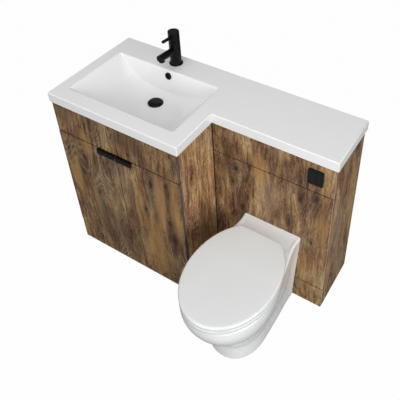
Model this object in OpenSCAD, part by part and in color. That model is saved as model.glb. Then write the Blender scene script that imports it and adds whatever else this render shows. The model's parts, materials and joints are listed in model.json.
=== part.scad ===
// Toilet and basin combination unit: one L shaped basin worktop on a two door cabinet and a
// toilet unit with a concealed cistern and a back to wall pan.
// Millimetres. X runs along the wall and is 0 where the two cabinets meet, Y = 0 is the wall
// and the fronts face -Y, Z = 0 is the floor.

/* [Worktop] */
// Width of the worktop along the wall
worktop_w = 1100; // [1090:1:1130]
// Width of the deeper basin side of the worktop
basin_side_w = 602; // [600:1:612]
// Depth of the basin side from the wall
basin_side_d = 465; // [460:1:480]
// Depth of the toilet side from the wall
wc_side_d = 255; // [252:1:270]
// Height of the worktop's upper face above the floor
top_z = 820; // [815:1:850]
// Height of the worktop's edge
slab_t = 40; // [36:1:44]
// Thickness of the worktop's upper plate
plate_t = 15; // [12:1:18]
// Thickness of the rim under the worktop, which rests on the cabinets
skirt_t = 20; // [18:1:22]
// Rounding of the worktop's upper edges
edge_r = 4; // [2:0.5:6]

/* [Bowl] */
// Width of the bowl's opening
bowl_w = 490; // [470:1:500]
// Depth of the bowl's opening, front to back
bowl_d = 291; // [280:1:296]
// Distance of the bowl's opening from the worktop's left end
bowl_margin = 51; // [48:1:56]
// Distance of the bowl's opening from the wall
bowl_back = 112; // [110:1:116]
// Depth of the bowl at the waste
bowl_depth = 104; // [95:1:112]
// Thickness of the bowl's wall
bowl_wall = 11; // [9:0.5:12]
// Radius of the corners of the bowl's opening
bowl_corner_r = 10; // [6:1:16]
// Distance of the waste from the wall
drain_back = 205; // [200:1:212]
// Rise of the bowl's floor away from the waste
floor_slope = 0.29; // [0.2:0.01:0.34]
// Steepness of the bowl's side walls
side_slope = 1.05; // [0.9:0.05:1.3]
// Steepness of the bowl's back wall
back_slope = 2.1; // [1.8:0.1:3]
// Steepness of the bowl's front wall
front_slope = 1.5; // [1.2:0.1:2]
// Softness of the bend from the bowl's floor to its walls
bowl_soft = 5; // [3:0.5:7]
// Height of the overflow's centre below the worktop
overflow_drop = 23; // [20:1:28]
// Radius of the overflow hole
overflow_r = 10; // [8:0.5:11]

/* [Cabinets] */
// Thickness of the boards
board_t = 18; // [16:1:19]
// Height of the plinths
plinth_h = 115; // [105:1:125]
// Height of the fixed fascias under the worktop
fascia_h = 140; // [132:1:148]
// Gap between fronts
front_gap = 3; // [3:0.5:4]
// Worktop overhang at the left end
overhang_left = 8; // [6:1:10]
// Worktop overhang at the right end
overhang_end = 8; // [6:1:10]
// Overhang of the basin side past the cabinets' joint
step_overhang = 8; // [4:1:10]
// Worktop overhang past the basin cabinet's fascia
basin_overhang = 5; // [4:1:8]
// Worktop overhang past the toilet unit's fascia
wc_overhang = 8; // [6:1:10]
// Height of the shelf's upper face
shelf_z = 380; // [340:1:400]
// Depth of the shelf
shelf_d = 300; // [260:1:340]
// Height of the rails
rail_h = 90; // [80:1:96]
// Distance of the wall fixing holes from each rail's end
wall_hole_in = 90; // [70:1:110]
// Distance of the toilet unit's wall fixing holes from its rail's end
wc_wall_hole_in = 20; // [14:1:24]
// Radius of the wall fixing holes
wall_hole_r = 3; // [2.5:0.5:4]

/* [Doors] */
// Distance of the doors from the carcass
door_stand = 1.5; // [1.2:0.1:2]
// Radius of the hinge cups
cup_r = 17.5; // [17:0.5:18]
// Depth of the hinge cups in the doors
cup_depth = 12; // [11:0.5:13]
// Distance of a cup's centre from the door's edge
cup_in = 22.5; // [21.5:0.5:24]
// Distance of a cup's centre from the door's end
cup_end = 90; // [80:1:110]
// Length of each handle
handle_len = 86; // [70:1:110]
// How far the handles stand out of the doors
handle_proud = 17; // [14:1:22]
// Height of the handles' front face
handle_drop = 23; // [18:1:28]
// Thickness of the handles' metal
handle_t = 1.8; // [1.5:0.1:2.2]

/* [Tap] */
// Distance of the tap's axis from the wall
tap_back = 55; // [52:1:58]
// Radius of the tap's column
tap_r = 22; // [20:0.5:23]
// Height of the tap
tap_h = 148; // [144:1:160]
// Radius of the tap's foot
tap_foot_r = 27; // [26:0.5:29]
// Height of the handle's joint above the worktop
tap_part_z = 108; // [104:1:112]
// Radius of the handle's ball seat
ball_r = 30; // [28:1:33]
// Height of the spout's root above the worktop
spout_z = 64; // [58:1:70]
// Reach of the spout from the tap's axis
spout_reach = 98; // [90:1:115]
// Radius of the spout
spout_r = 13; // [12:0.5:14]
// Rise of the spout in degrees
spout_rise = 5; // [0:1:10]
// Length of the lever outside the column
lever_len = 46; // [38:1:60]
// Radius of the lever
lever_r = 4.5; // [4:0.5:5.5]

/* [Waste and trap] */
// Radius of the waste's flange
waste_flange_r = 31; // [30:0.5:32]
// Outer radius of the waste's thread
waste_r = 20.9; // [20.5:0.1:21.5]
// Length of the waste under the bowl
waste_len = 74; // [68:1:80]
// Outer radius of the trap's pipes
pipe_r = 16; // [15.5:0.1:16.2]
// Wall of the trap's pipes
pipe_wall = 1.8; // [1.5:0.1:2]
// Outer radius of the trap's bottle
bottle_r = 32; // [30:1:36]
// Height of the trap's bottle
bottle_h = 116; // [108:1:130]
// Height of the trap's outlet above the floor
trap_outlet_z = 575; // [565:1:580]

/* [Flush plate] */
// Width of the flush plate
flush_w = 58; // [54:1:66]
// Height of the flush plate
flush_h = 70; // [64:1:76]
// Distance of the plate's centre from the toilet unit's right side
flush_in = 72; // [60:1:84]
// How far the plate stands out of the fascia
flush_proud = 9; // [7:1:12]
// Travel of the flush buttons
button_travel = 4; // [3:0.5:4]

/* [Cistern] */
// Width of the cistern
tank_w = 376; // [360:1:384]
// Depth of the cistern
tank_d = 130; // [120:1:136]
// Height of the cistern
tank_h = 280; // [270:1:290]
// Height of the cistern's floor
tank_z = 455; // [450:1:460]
// Wall of the cistern
tank_wall = 4; // [3:0.5:5]
// Lift of the flush valve for a full flush
lifter_travel = 20; // [16:1:24]
// Travel of the float
float_travel = 90; // [80:1:100]
// Outer radius of the flush pipe
flush_pipe_r = 20; // [19:0.5:20.5]
// Radius of the flush pipe's bend
flush_bend = 52; // [46:1:56]

/* [Pan] */
// Distance of the pan's middle from the cabinets' joint
pan_x = 264; // [250:1:268]
// Height of the pan's rim
pan_h = 368; // [360:1:380]
// Half width of the pan's back at the rim
pan_back_w = 126; // [118:1:130]
// Half width of the pan's back at the floor
foot_back_w = 106; // [100:1:110]
// Half width of the rim
rim_w = 163; // [156:1:166]
// Distance of the rim's front from the wall
rim_front = 751; // [740:1:756]
// Distance of the rim's widest place from the wall
rim_mid = 550; // [540:1:560]
// Half width of the foot
foot_w = 113; // [108:1:118]
// Distance of the foot's front from the wall
foot_front = 624; // [610:1:640]
// Distance of the foot's widest place from the wall
foot_mid = 480; // [470:1:490]
// How far the pan's sides draw in near the floor
waist_low = 3; // [0:1:6]
// How far the pan's sides draw in at mid height
waist_high = 16; // [8:1:18]
// Wall of the pan
pan_wall = 12; // [10:0.5:13]
// Thickness of the pan's deck and rim
deck_t = 17; // [15:1:20]
// Height of the flush inlet's centre
inlet_z = 308; // [304:1:310]
// Height of the soil outlet's centre
soil_z = 185; // [180:1:190]
// Outer radius of the pan's outlet
spigot_r = 51; // [50:0.5:52]
// Outer radius of the soil connector
soil_r = 55; // [55:0.1:55.5]
// Height of the side fixing holes
side_hole_z = 30; // [26:1:34]
// Distance of the side fixing holes from the wall
side_hole_back = 440; // [430:1:450]
// Distance of the floor screws from the pan's middle
floor_hole_x = 72; // [68:1:76]
// Radius of the floor screw holes
floor_hole_r = 3.5; // [3:0.5:4]

/* [Seat] */
// Width of the seat and lid
seat_w = 336; // [330:1:344]
// Distance of the lid's front from the wall
seat_front = 758; // [752:1:768]
// Distance of the lid's back edge from the wall
seat_back = 333; // [331:1:336]
// Distance of the seat's widest place from the wall
seat_mid = 537; // [530:1:545]
// Length of the seat's back ellipse
seat_rear = 239; // [232:1:244]
// Gap between the rim and the seat
seat_gap = 4; // [3:0.5:5]
// Thickness of the seat
seat_t = 16; // [14:1:18]
// Gap between the seat and the lid
lid_gap = 3; // [2:0.5:4]
// Thickness of the lid
lid_t = 17; // [15:1:20]
// Distance between the two hinges
hinge_span = 155; // [150:1:160]
// Distance of the hinge axis in front of the lid's back edge
hinge_in = 10; // [9:0.5:11]
// Height of the hinge axis above the rim
hinge_up = 15; // [14:0.5:16]
// Radius of the hinge pins
hinge_pin_r = 4; // [3.5:0.5:4.5]

/* [Fits] */
// Radial clearance of a pin in its hole
pin_fit = 0.06; // [0.03:0.01:0.09]
// Clearance between pieces that move past each other
run_gap = 0.5; // [0.4:0.1:0.8]
// Clearance of a fixed piece in its hole
seat_fit = 0.3; // [0.2:0.05:0.4]

/* [Hidden] */
$fn = 48;

WOOD = "#7d5736";
EDGE = "#d8d2c6";
STONE = "#e9e9e7";
CERAMIC = "#f2f2f0";
BLACK = "#1b1b1c";
STEEL = "#b9bcc0";
PLASTIC = "#f4f4f2";
RUBBER = "#2a2a2a";

// A little more than nothing, for cuts that run past a face
cut = 1;

// Worktop and carcass lines
wt_left = step_overhang - basin_side_w;
wt_right = wt_left + worktop_w;
slab_low = top_z - slab_t;
cab_left = wt_left + overhang_left;
wc_right = wt_right - overhang_end;
basin_front = basin_overhang - basin_side_d;
basin_edge = basin_front + board_t;
wc_front = wc_overhang - wc_side_d;
wc_edge = wc_front + board_t;
fascia_low = slab_low - fascia_h;
door_low = plinth_h + front_gap;
door_high = fascia_low - front_gap;
wc_left_gap = 1;

// Bowl
bowl_x = wt_left + bowl_margin + bowl_w / 2;
drain_z = top_z - bowl_depth;
drain_recess_r = waste_flange_r + 1;
drain_recess = 2.5;
bowl_floor_r = drain_recess_r - 4;
rim_round = 3.5;
bowl_back_power = 1.4;
boss_r = 36;
boss_low = drain_z - 26;
waste_hole_r = waste_r + 1.1;
tap_hole_r = 17.5;
channel_w = 26;
channel_d = 14;
channel_wall = 5;
overflow_z = top_z - overflow_drop;
overflow_len = 32;
// Back face of the overflow channel's space and its floor
channel_back = -bowl_back + 24;
channel_floor = boss_low + channel_wall;

// Doors and their hinges
door_back = basin_edge - door_stand;
door_front = door_back - board_t;
door_split = cab_left / 2;
door_w = (-cab_left - front_gap) / 2;
handle_leg = 22;
handle_end_in = 1;
cup_plate_t = 1.2;
cup_wall = 1;
cup_zs = [door_low + cup_end, door_high - cup_end];
arm_len = 62;
arm_t = 9;
arm_w = 14;
arm_nose = cup_depth - seat_fit - cup_wall;

// Shelf and its pins
pin_r = 2.5;
pin_len = 8;
shelf_back = -70;
pin_ys = [shelf_back - 40, shelf_back - shelf_d + 40];

// Tap
tap_y = -tap_back;
ball_z = top_z + tap_part_z + sqrt(ball_r * ball_r - tap_r * tap_r);
cartridge_r = 15.5;
cartridge_h = 34;
cartridge_low = top_z + tap_part_z - 14 - cartridge_h;
turret_r = 7;
trunnion_r = 2;
trunnion_len = 22;
tap_lift = 20;
stud_r = 4;
stud_len = 70;
stud_y = 13;
stud_in = 14;
inlet_r = 4.5;
inlet_depth = 16;
inlet_x = 9;
tail_room = inlet_x + inlet_r + 1;
aerator_r = 10;

// Waste and trap
waste_low = drain_z - waste_len;
waste_bore = waste_r - 3.2;
plug_stem_r = 4;
plug_travel = 8;
plug_t = 5;
bottle_top = trap_outlet_z + 24;
bottle_low = bottle_top - bottle_h;
nut_h = 18;
outlet_nut_y = -drain_back + bottle_r + 26;
outlet_free = 136;
outlet_neck_r = pipe_r - 0.5;
nut_r = 25.5;

// Toilet unit
flush_x = wc_right - flush_in;
flush_z = slab_low - fascia_h / 2 + 1;
flush_barrel_r = 22;
flush_split = 0.58;
button_inset = 5;
inlet_hole_r = 33;
soil_hole_r = 66;
wc_rail_back_h = 100;

// Cistern
tank_y = -board_t;
tank_top = tank_z + tank_h;
valve_y = tank_y - tank_d / 2;
valve_base_r = 34;
fill_x = pan_x - tank_w / 2 + 52;
fill_tail_r = 10.48;
fill_neck_r = 10;
fill_nut_h = 10;
pipe_gap = 2;

// Pan
pan_back = wc_front;
pan_points = 12;
side_points = 10;
blend_low = 70;
blend_high = pan_h - 26;
bowl_under = pan_h - deck_t - 13;
well_low = 92;
well_z = 150;
well_back = 478;
trap_r = 40;
spigot_out = 42;
spigot_bore_r = trap_r + 2;
inlet_bore_r = 27.5;
hinge_bolt_r = 4;
bolt_hole_r = 5.5;
bracket_w = 40;
bracket_h = 46;

// Seat
seat_low = pan_h + seat_gap;
seat_high = seat_low + seat_t;
lid_low = seat_high + lid_gap;
lid_high = lid_low + lid_t;
hinge_y = -seat_back - hinge_in;
hinge_z = pan_h + hinge_up;
knuckle_r = 7;
post_w = 22;
lug_w = 10;
ring_w = 62;

function lerp(a, b, t) = a + (b - a) * t;
function span(middle, half) = [middle - half, middle + half];
function ease(t) = (1 - cos(180 * t)) / 2;
function clamp01(t) = min(1, max(0, t));
// Mean of a ring's points
function middle(ring) = [for (p = ring) 1] * ring / len(ring);
// Places an outline's points at a height
function at_z(outline, z) = [for (p = outline) [p[0], p[1], z]];
// Completes a right half outline, which runs from the front to the back
function both_halves(right) =
    concat(right, [for (i = [len(right) - 1:-1:1]) [-right[i][0], right[i][1]]]);
// Quarter of an oval from its front point to its widest place
function front_quarter(a, b, mid, power, n) =
    [for (i = [0:n - 1]) let (t = 90 * i / n)
        [a * pow(sin(t), 2 / power), mid - b * pow(cos(t), 2 / power)]];

// Solid through a list of rings, each anticlockwise about the way the list runs, closed at
// both ends by triangles round the ring's middle
module loft(rings) {
    n = len(rings[0]);
    last = len(rings) - 1;
    low = n * (last + 1);
    polyhedron(
        points = concat([for (ring = rings) each ring], [middle(rings[0]), middle(rings[last])]),
        faces = [for (j = [0:n - 1]) let (k = (j + 1) % n) each concat(
            [[low, j, k], [low + 1, last * n + k, last * n + j]],
            [for (i = [0:last - 1]) [i * n + j, (i + 1) * n + j, (i + 1) * n + k]],
            [for (i = [0:last - 1]) [i * n + j, (i + 1) * n + k, i * n + k]])],
        convexity = 8);
}

// Board between two limits on each axis
module board(x, y, z) {
    translate([x[0], y[0], z[0]])
        cube([x[1] - x[0], y[1] - y[0], z[1] - z[0]]);
}

module round_rect(w, h, r) {
    square([w - 2 * r, h], center = true);
    square([w, h - 2 * r], center = true);
    for (x = [-1, 1], y = [-1, 1])
        translate([x * (w / 2 - r), y * (h / 2 - r)]) circle(r);
}

module ring_z(r_out, r_in, z_low, z_high) {
    difference() {
        translate([0, 0, z_low]) cylinder(r = r_out, h = z_high - z_low);
        translate([0, 0, z_low - cut]) cylinder(r = r_in, h = z_high - z_low + 2 * cut);
    }
}

// Round bar or hole along Y, from y_low to y_high
module bar_y(r, y_low, y_high) {
    translate([0, y_high, 0]) rotate([90, 0, 0]) cylinder(r = r, h = y_high - y_low);
}

// Round bar or hole along X, centred on 0
module bar_x(r, length) {
    rotate([0, 90, 0]) cylinder(r = r, h = length, center = true);
}

// ---------- worktop ----------

// Rounded rectangle round the waste, with more points along its sides
function bowl_outline(side, front, back, r) = let (
    corners = [
        [side - r, -front + r, -90], [side - r, back - r, 0],
        [-side + r, back - r, 90], [-side + r, -front + r, 180]
    ],
    arcs = [for (c = corners) [for (i = [0:4]) let (a = c[2] + 22.5 * i)
        [c[0] + r * cos(a), c[1] + r * sin(a)]]])
    [for (q = [0:3]) let (next = arcs[(q + 1) % 4][0], more = q % 2 == 0 ? 3 : 7)
        each concat(arcs[q], [for (i = [1:more]) lerp(arcs[q][4], next, i / (more + 1))])];

// Ring of the bowl at s, from 0 at the waste to 1 at the opening, grown by g
function bowl_ring(s, g) = let (
    side = lerp(bowl_floor_r, bowl_w / 2, s) + g,
    front = lerp(bowl_floor_r, bowl_back + bowl_d - drain_back, s) + g,
    back = lerp(bowl_floor_r, drain_back - bowl_back, pow(s, bowl_back_power)) + g,
    r = lerp(bowl_floor_r - 2, bowl_corner_r, s) + 60 * s * (1 - s) + g)
    bowl_outline(side, front, back, r);

// Height of the bowl's surface above the waste, at a place relative to the waste
function bowl_height(p) = let (
    level = floor_slope * max(0, norm(p) - drain_recess_r - 1),
    side = bowl_depth - side_slope * (bowl_w / 2 - abs(p[0])),
    back = bowl_depth - back_slope * (drain_back - bowl_back - p[1]),
    front = bowl_depth - front_slope * (bowl_back + bowl_d - drain_back + p[1]))
    bowl_soft * ln(exp(level / bowl_soft) + exp(side / bowl_soft) + exp(back / bowl_soft)
        + exp(front / bowl_soft));

// Ring of the bowl's surface at s, pushed out by g
function bowl_skin(s, g) = let (ring = bowl_ring(s, 0), pushed = bowl_ring(s, g))
    [for (i = [0:len(ring) - 1]) [pushed[i][0], pushed[i][1], s == 0 ? 0 : bowl_height(ring[i])]];

// Y of the bowl's back wall at a height
function wall_back(z) = -bowl_back - (top_z - z) / back_slope;
overflow_tilt = atan(1 / back_slope);

module bowl_space() {
    steps = [0, 0.03, 0.1, 0.2, 0.32, 0.44, 0.55, 0.65, 0.73, 0.8, 0.87, 0.93, 0.985];
    translate([bowl_x, -drain_back, drain_z])
        loft(concat(
            [for (s = steps) bowl_skin(s, 0)],
            [at_z(bowl_ring(1, 0.5), bowl_depth - 1.6),
             at_z(bowl_ring(1, 1.5), bowl_depth - 0.5),
             at_z(bowl_ring(1, rim_round), bowl_depth),
             at_z(bowl_ring(1, rim_round), bowl_depth + 2)]));
}

module bowl_shell() {
    steps = [0, 0.12, 0.26, 0.4, 0.54, 0.67, 0.78, 0.88, 0.95];
    translate([bowl_x, -drain_back, drain_z - bowl_wall])
        loft(concat(
            [for (s = steps) bowl_skin(s, bowl_wall)],
            [at_z(bowl_ring(1, bowl_wall), bowl_depth)]));
}

module slab_outline(inset) {
    corner = max(edge_r, 1);
    left = wt_left + inset;
    front = -basin_side_d + inset;
    wc = -wc_side_d + inset;
    right = wt_right - inset;
    step = step_overhang - inset;
    translate([left, front + corner]) square([step - left, -inset - front - corner]);
    translate([left + corner, front]) square([step - left - 2 * corner, corner * 2]);
    translate([left, wc + corner]) square([right - left, -inset - wc - corner]);
    translate([left + corner, wc]) square([right - left - 2 * corner, corner * 2]);
    for (p = [[left + corner, front + corner], [step - corner, front + corner],
              [right - corner, wc + corner]])
        translate(p) circle(corner);
}

// Removes what lies outside a quarter round along an upper edge of the given length
module edge_round(length) {
    translate([-cut, 0, 0])
        rotate([90, 0, 90])
            linear_extrude(length + 2 * cut)
                difference() {
                    translate([-cut, -edge_r]) square([edge_r + cut, edge_r + cut]);
                    translate([edge_r, -edge_r]) circle(edge_r);
                }
}

module worktop() {
    color(STONE) difference() {
        union() {
            difference() {
                translate([0, 0, slab_low]) linear_extrude(slab_t) slab_outline(0);
                translate([0, 0, slab_low - cut])
                    linear_extrude(slab_t - plate_t + cut) slab_outline(skirt_t);
            }
            board([-skirt_t, skirt_t], [-wc_side_d + skirt_t / 2, -skirt_t / 2],
                  [slab_low, top_z - plate_t / 2]);
            bowl_shell();
            overflow_rib();
            translate([bowl_x, -drain_back, boss_low]) cylinder(r = boss_r, h = bowl_wall + 14);
            translate([bowl_x, tap_y, top_z - slab_t + 12])
                cylinder(r = tap_hole_r + 12, h = slab_t - 14);
        }
        bowl_space();
        translate([bowl_x, -drain_back, boss_low - cut])
            cylinder(r = waste_hole_r, h = bowl_wall + 40);
        translate([bowl_x, -drain_back, drain_z - drain_recess])
            cylinder(r = drain_recess_r, h = drain_recess + cut);
        translate([bowl_x, tap_y, slab_low - cut]) cylinder(r = tap_hole_r, h = slab_t + 2 * cut);
        at_overflow() translate([0, 0, -overflow_len]) cylinder(r = overflow_r, h = 2 * overflow_len);
        board(span(bowl_x, channel_w / 2), [channel_back - channel_d, channel_back],
              [channel_floor, overflow_z + overflow_r + 2]);
        board(span(bowl_x, channel_w / 2), [-drain_back, channel_back - 1],
              [channel_floor, channel_floor + 8]);
        worktop_edges();
    }
}

// Placed on the bowl's back wall, with +Z square to the wall and into the bowl
module at_overflow() {
    translate([bowl_x, wall_back(overflow_z), overflow_z]) rotate([90 - overflow_tilt, 0, 0])
        children();
}

// Integral channel that carries the overflow's water to the waste
module overflow_rib() {
    x = span(bowl_x, channel_w / 2 + channel_wall);
    board(x, [-bowl_back - 8, channel_back + channel_wall], [boss_low, top_z - plate_t + 1]);
    board(x, [-drain_back, channel_back + channel_wall], [boss_low, drain_z - 6]);
}

module worktop_edges() {
    z = top_z;
    translate([wt_left, -basin_side_d, z]) edge_round(basin_side_w);
    translate([step_overhang, -wc_side_d, z]) edge_round(worktop_w - basin_side_w);
    translate([wt_left, 0, z]) rotate(-90) edge_round(basin_side_d);
    translate([step_overhang, -basin_side_d, z]) rotate(90) edge_round(basin_side_d - wc_side_d);
    translate([wt_right, -wc_side_d, z]) rotate(90) edge_round(wc_side_d);
}

module overflow_ring() {
    lip_low = 0.2;
    lip_high = 1.8;
    color(BLACK) at_overflow() difference() {
        union() {
            translate([0, 0, -14]) cylinder(r = overflow_r - seat_fit, h = 14 + lip_high);
            translate([0, 0, lip_low]) cylinder(r = overflow_r + 2, h = lip_high - lip_low);
        }
        translate([0, 0, -15]) cylinder(r = overflow_r - 2.5, h = 30);
    }
}

// ---------- basin cabinet ----------

// Side board with blind holes for the shelf's pins in its inner face
module side_board(x, inner) {
    difference() {
        board([x, x + board_t], [basin_edge, 0], [0, slab_low]);
        for (y = pin_ys)
            translate([inner, y, shelf_z - board_t - pin_r])
                bar_x(pin_r + pin_fit, 2 * pin_len + 1);
    }
}

module basin_left_side() {
    color(WOOD) side_board(cab_left, cab_left + board_t);
}

module basin_right_side() {
    color(WOOD) side_board(-board_t, -board_t);
}

inner_l = cab_left + board_t;
inner_r = -board_t;

module basin_floor_panel() {
    color(WOOD) board([inner_l, inner_r], [basin_edge, 0], [plinth_h - board_t, plinth_h]);
}

module basin_shelf() {
    color(WOOD) board([inner_l + 1, inner_r - 1], [shelf_back - shelf_d, shelf_back],
                      [shelf_z - board_t, shelf_z]);
}

module shelf_pins() {
    color(STEEL) for (side = [[inner_l, 1], [inner_r, -1]], y = pin_ys)
        translate([side[0], y, shelf_z - board_t - pin_r]) bar_x(pin_r, 2 * pin_len);
}

// Front rail behind the fascia's lower edge and two rear rails with wall fixing holes
module basin_rails() {
    color(WOOD) {
        board([inner_l, inner_r], [basin_edge, basin_edge + board_t],
              [fascia_low - rail_h / 2, fascia_low + rail_h / 2]);
        for (z = [slab_low - rail_h, plinth_h]) difference() {
            board([inner_l, inner_r], [-board_t, 0], [z, z + rail_h]);
            for (x = [inner_l + wall_hole_in, inner_r - wall_hole_in])
                translate([x, 0, z + rail_h / 2])
                    bar_y(wall_hole_r, -board_t - cut, cut);
        }
    }
}

module basin_fascia() {
    color(WOOD) board([cab_left, 0], [basin_front, basin_edge], [fascia_low, slab_low]);
}

module basin_plinth() {
    color(WOOD) board([cab_left, 0], [basin_front, basin_edge], [0, plinth_h]);
}

// Door for a hinge on its left, from x = 0; the other door is its mirror image
module door_board() {
    handle_x = [door_w - handle_end_in - handle_len, door_w - handle_end_in];
    difference() {
        board([0, door_w], [door_front, door_back], [door_low, door_high]);
        for (z = cup_zs)
            translate([cup_in, 0, z]) bar_y(cup_r + seat_fit, door_back - cup_depth, door_back + cut);
        board(handle_x + seat_fit * [-1, 1], [door_back - handle_t - seat_fit, door_back + cut],
              [door_high - handle_leg - seat_fit, door_high + cut]);
    }
}

module handle_profile() {
    high = door_high + handle_t;
    lip = door_front - handle_proud;
    polygon([
        [door_back, door_high - handle_leg], [door_back, high], [lip, high],
        [lip, high - handle_drop], [lip + handle_t, high - handle_drop],
        [lip + handle_t, door_high], [door_back - handle_t, door_high],
        [door_back - handle_t, door_high - handle_leg]
    ]);
}

module door_handle() {
    translate([door_w - handle_end_in - handle_len, 0, 0])
        rotate([90, 0, 90]) linear_extrude(handle_len) handle_profile();
}

module door_cups() {
    for (z = cup_zs) translate([cup_in, 0, z]) {
        difference() {
            bar_y(cup_r, door_back - cup_depth + seat_fit, door_back);
            bar_y(cup_r - cup_wall, door_back - cup_depth + seat_fit + cup_wall, door_back + cut);
        }
        difference() {
            translate([0, door_back + cup_plate_t, 0]) rotate([90, 0, 0])
                linear_extrude(cup_plate_t) {
                    circle(cup_r + 2.5);
                    square([13, 62], center = true);
                }
            bar_y(cup_r - cup_wall, door_back - cut, door_back + cup_plate_t + cut);
        }
    }
}

module left_hand() {
    translate([cab_left, 0, 0]) children();
}

module right_hand() {
    mirror([1, 0, 0]) children();
}

module left_door() {
    color(WOOD) left_hand() door_board();
}

module right_door() {
    color(WOOD) right_hand() door_board();
}

module left_handle() {
    color(BLACK) left_hand() door_handle();
}

module right_handle() {
    color(BLACK) right_hand() door_handle();
}

module left_hinge_cups() {
    color(STEEL) left_hand() door_cups();
}

module right_hinge_cups() {
    color(STEEL) right_hand() door_cups();
}

// Mounting plate on the side board and an arm whose nose lies in the cup's mouth
module hinge_arm() {
    back = basin_edge + arm_len;
    nose = door_back - arm_nose;
    linear_extrude(arm_w)
        polygon([
            [board_t, back], [board_t, basin_edge + 12], [board_t + 2, basin_edge + 6],
            [board_t + 2, nose], [board_t + arm_t, nose], [board_t + arm_t + 2, basin_edge + 10],
            [board_t + arm_t, back - 6], [board_t + 4, back]
        ]);
    translate([board_t, basin_edge + 26, arm_w / 2 - 24]) cube([3, 22, 48]);
}

module hinge_arms() {
    color(STEEL) for (z = cup_zs) {
        left_hand() translate([0, 0, z - arm_w / 2]) hinge_arm();
        right_hand() translate([0, 0, z - arm_w / 2]) hinge_arm();
    }
}

// ---------- tap ----------

module at_tap() {
    translate([bowl_x, tap_y, 0]) children();
}

module spout_place() {
    at_tap() translate([0, 0, top_z + spout_z]) rotate([90 - spout_rise, 0, 0]) children();
}

outlet_y = tap_y - spout_reach + spout_r;
outlet_z = top_z + spout_z + (spout_reach - spout_r) * tan(spout_rise);

module tap_body() {
    neck = top_z + tap_part_z;
    color(BLACK) difference() {
        union() {
            at_tap() rotate_extrude()
                polygon([
                    [0, top_z], [tap_foot_r, top_z], [tap_foot_r, top_z + 4],
                    [tap_foot_r - 1.5, top_z + 5.5], [tap_r + 0.8, top_z + 6.5], [tap_r, top_z + 9],
                    [tap_r, neck], [0, neck]
                ]);
            spout_place() cylinder(r = spout_r, h = spout_reach / cos(spout_rise));
            translate([bowl_x, outlet_y, outlet_z - spout_r - 3])
                cylinder(r = aerator_r + 2, h = spout_r + 3);
        }
        at_tap() translate([0, 0, ball_z]) sphere(ball_r + run_gap);
        at_tap() translate([0, 0, cartridge_low]) cylinder(r = cartridge_r + seat_fit, h = 60);
        spout_place() cylinder(r = spout_r - 6, h = (spout_reach - spout_r) / cos(spout_rise));
        translate([bowl_x, outlet_y, outlet_z - spout_r - 4]) cylinder(r = aerator_r, h = spout_r + 4);
        for (x = [-inlet_x, inlet_x])
            at_tap() translate([x, 0, top_z - cut]) cylinder(r = inlet_r, h = inlet_depth + cut);
        at_tap() translate([0, stud_y, top_z - cut]) cylinder(r = stud_r + pin_fit, h = stud_in + cut);
    }
}

module tap_aerator() {
    low = outlet_z - spout_r - 5;
    color(BLACK) translate([bowl_x, outlet_y, 0]) difference() {
        union() {
            ring_z(aerator_r - 0.1, aerator_r - 3, low + 2, low + 12);
            ring_z(aerator_r + 1.2, aerator_r - 3, low, low + 2 - 0.01);
        }
    }
}

module tap_cartridge() {
    color(PLASTIC) at_tap() difference() {
        translate([0, 0, cartridge_low]) cylinder(r = cartridge_r, h = cartridge_h);
        translate([0, 0, cartridge_low + cartridge_h - 16]) cylinder(r = turret_r + pin_fit, h = 20);
    }
}

// Turns in the cartridge and carries the handle on two trunnions
module tap_turret() {
    color(STEEL) at_tap() {
        translate([0, 0, cartridge_low + cartridge_h - 16])
            cylinder(r = turret_r, h = ball_z + 3 - cartridge_low - cartridge_h + 16);
        translate([0, 0, ball_z]) bar_x(trunnion_r, trunnion_len);
    }
}

module tap_handle() {
    slot = turret_r + 3 * run_gap;
    reach = (ball_r - 2) * sin(tap_lift) + slot;
    color(BLACK) at_tap() difference() {
        union() {
            translate([0, 0, top_z + tap_part_z + run_gap])
                cylinder(r = tap_r, h = tap_h - tap_part_z - run_gap);
            intersection() {
                translate([0, 0, ball_z]) sphere(ball_r);
                translate([0, 0, top_z + tap_part_z - 20]) cylinder(r = tap_r, h = 22);
            }
        }
        translate([-slot, -slot, ball_z - ball_r - cut]) cube([2 * slot, slot + reach, ball_r + 9]);
        translate([0, 0, ball_z]) bar_x(trunnion_r + pin_fit, trunnion_len + 1);
        translate([0, -tap_r + 6, ball_z]) rotate([85, 0, 0])
            cylinder(r = lever_r + pin_fit, h = 20);
    }
}

module tap_lever() {
    color(BLACK) at_tap() translate([0, -tap_r + 6, ball_z]) rotate([85, 0, 0])
        rotate_extrude()
            polygon([
                [0, 0], [lever_r, 0], [lever_r, lever_len + 5], [lever_r - 1, lever_len + 6],
                [0, lever_len + 6]
            ]);
}

module tap_stud() {
    color(STEEL) at_tap() translate([0, stud_y, top_z + stud_in - stud_len])
        cylinder(r = stud_r, h = stud_len);
}

// Clamp that bears on the worktop's underside, with its hexagon nut
module tap_nut() {
    bearing = top_z - slab_t + 12;
    color(STEEL) at_tap() difference() {
        union() {
            translate([0, 0, bearing - 3]) cylinder(r = tap_hole_r + 8, h = 3);
            translate([0, stud_y, bearing - 11]) cylinder(r = 7.5, h = 8, $fn = 6);
        }
        translate([0, stud_y, bearing - 20]) cylinder(r = stud_r + pin_fit, h = 30);
        translate([-tail_room, -40, bearing - 4]) cube([2 * tail_room, 46, 6]);
    }
}

// ---------- waste and trap ----------

module at_drain() {
    translate([bowl_x, -drain_back, 0]) children();
}

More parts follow.
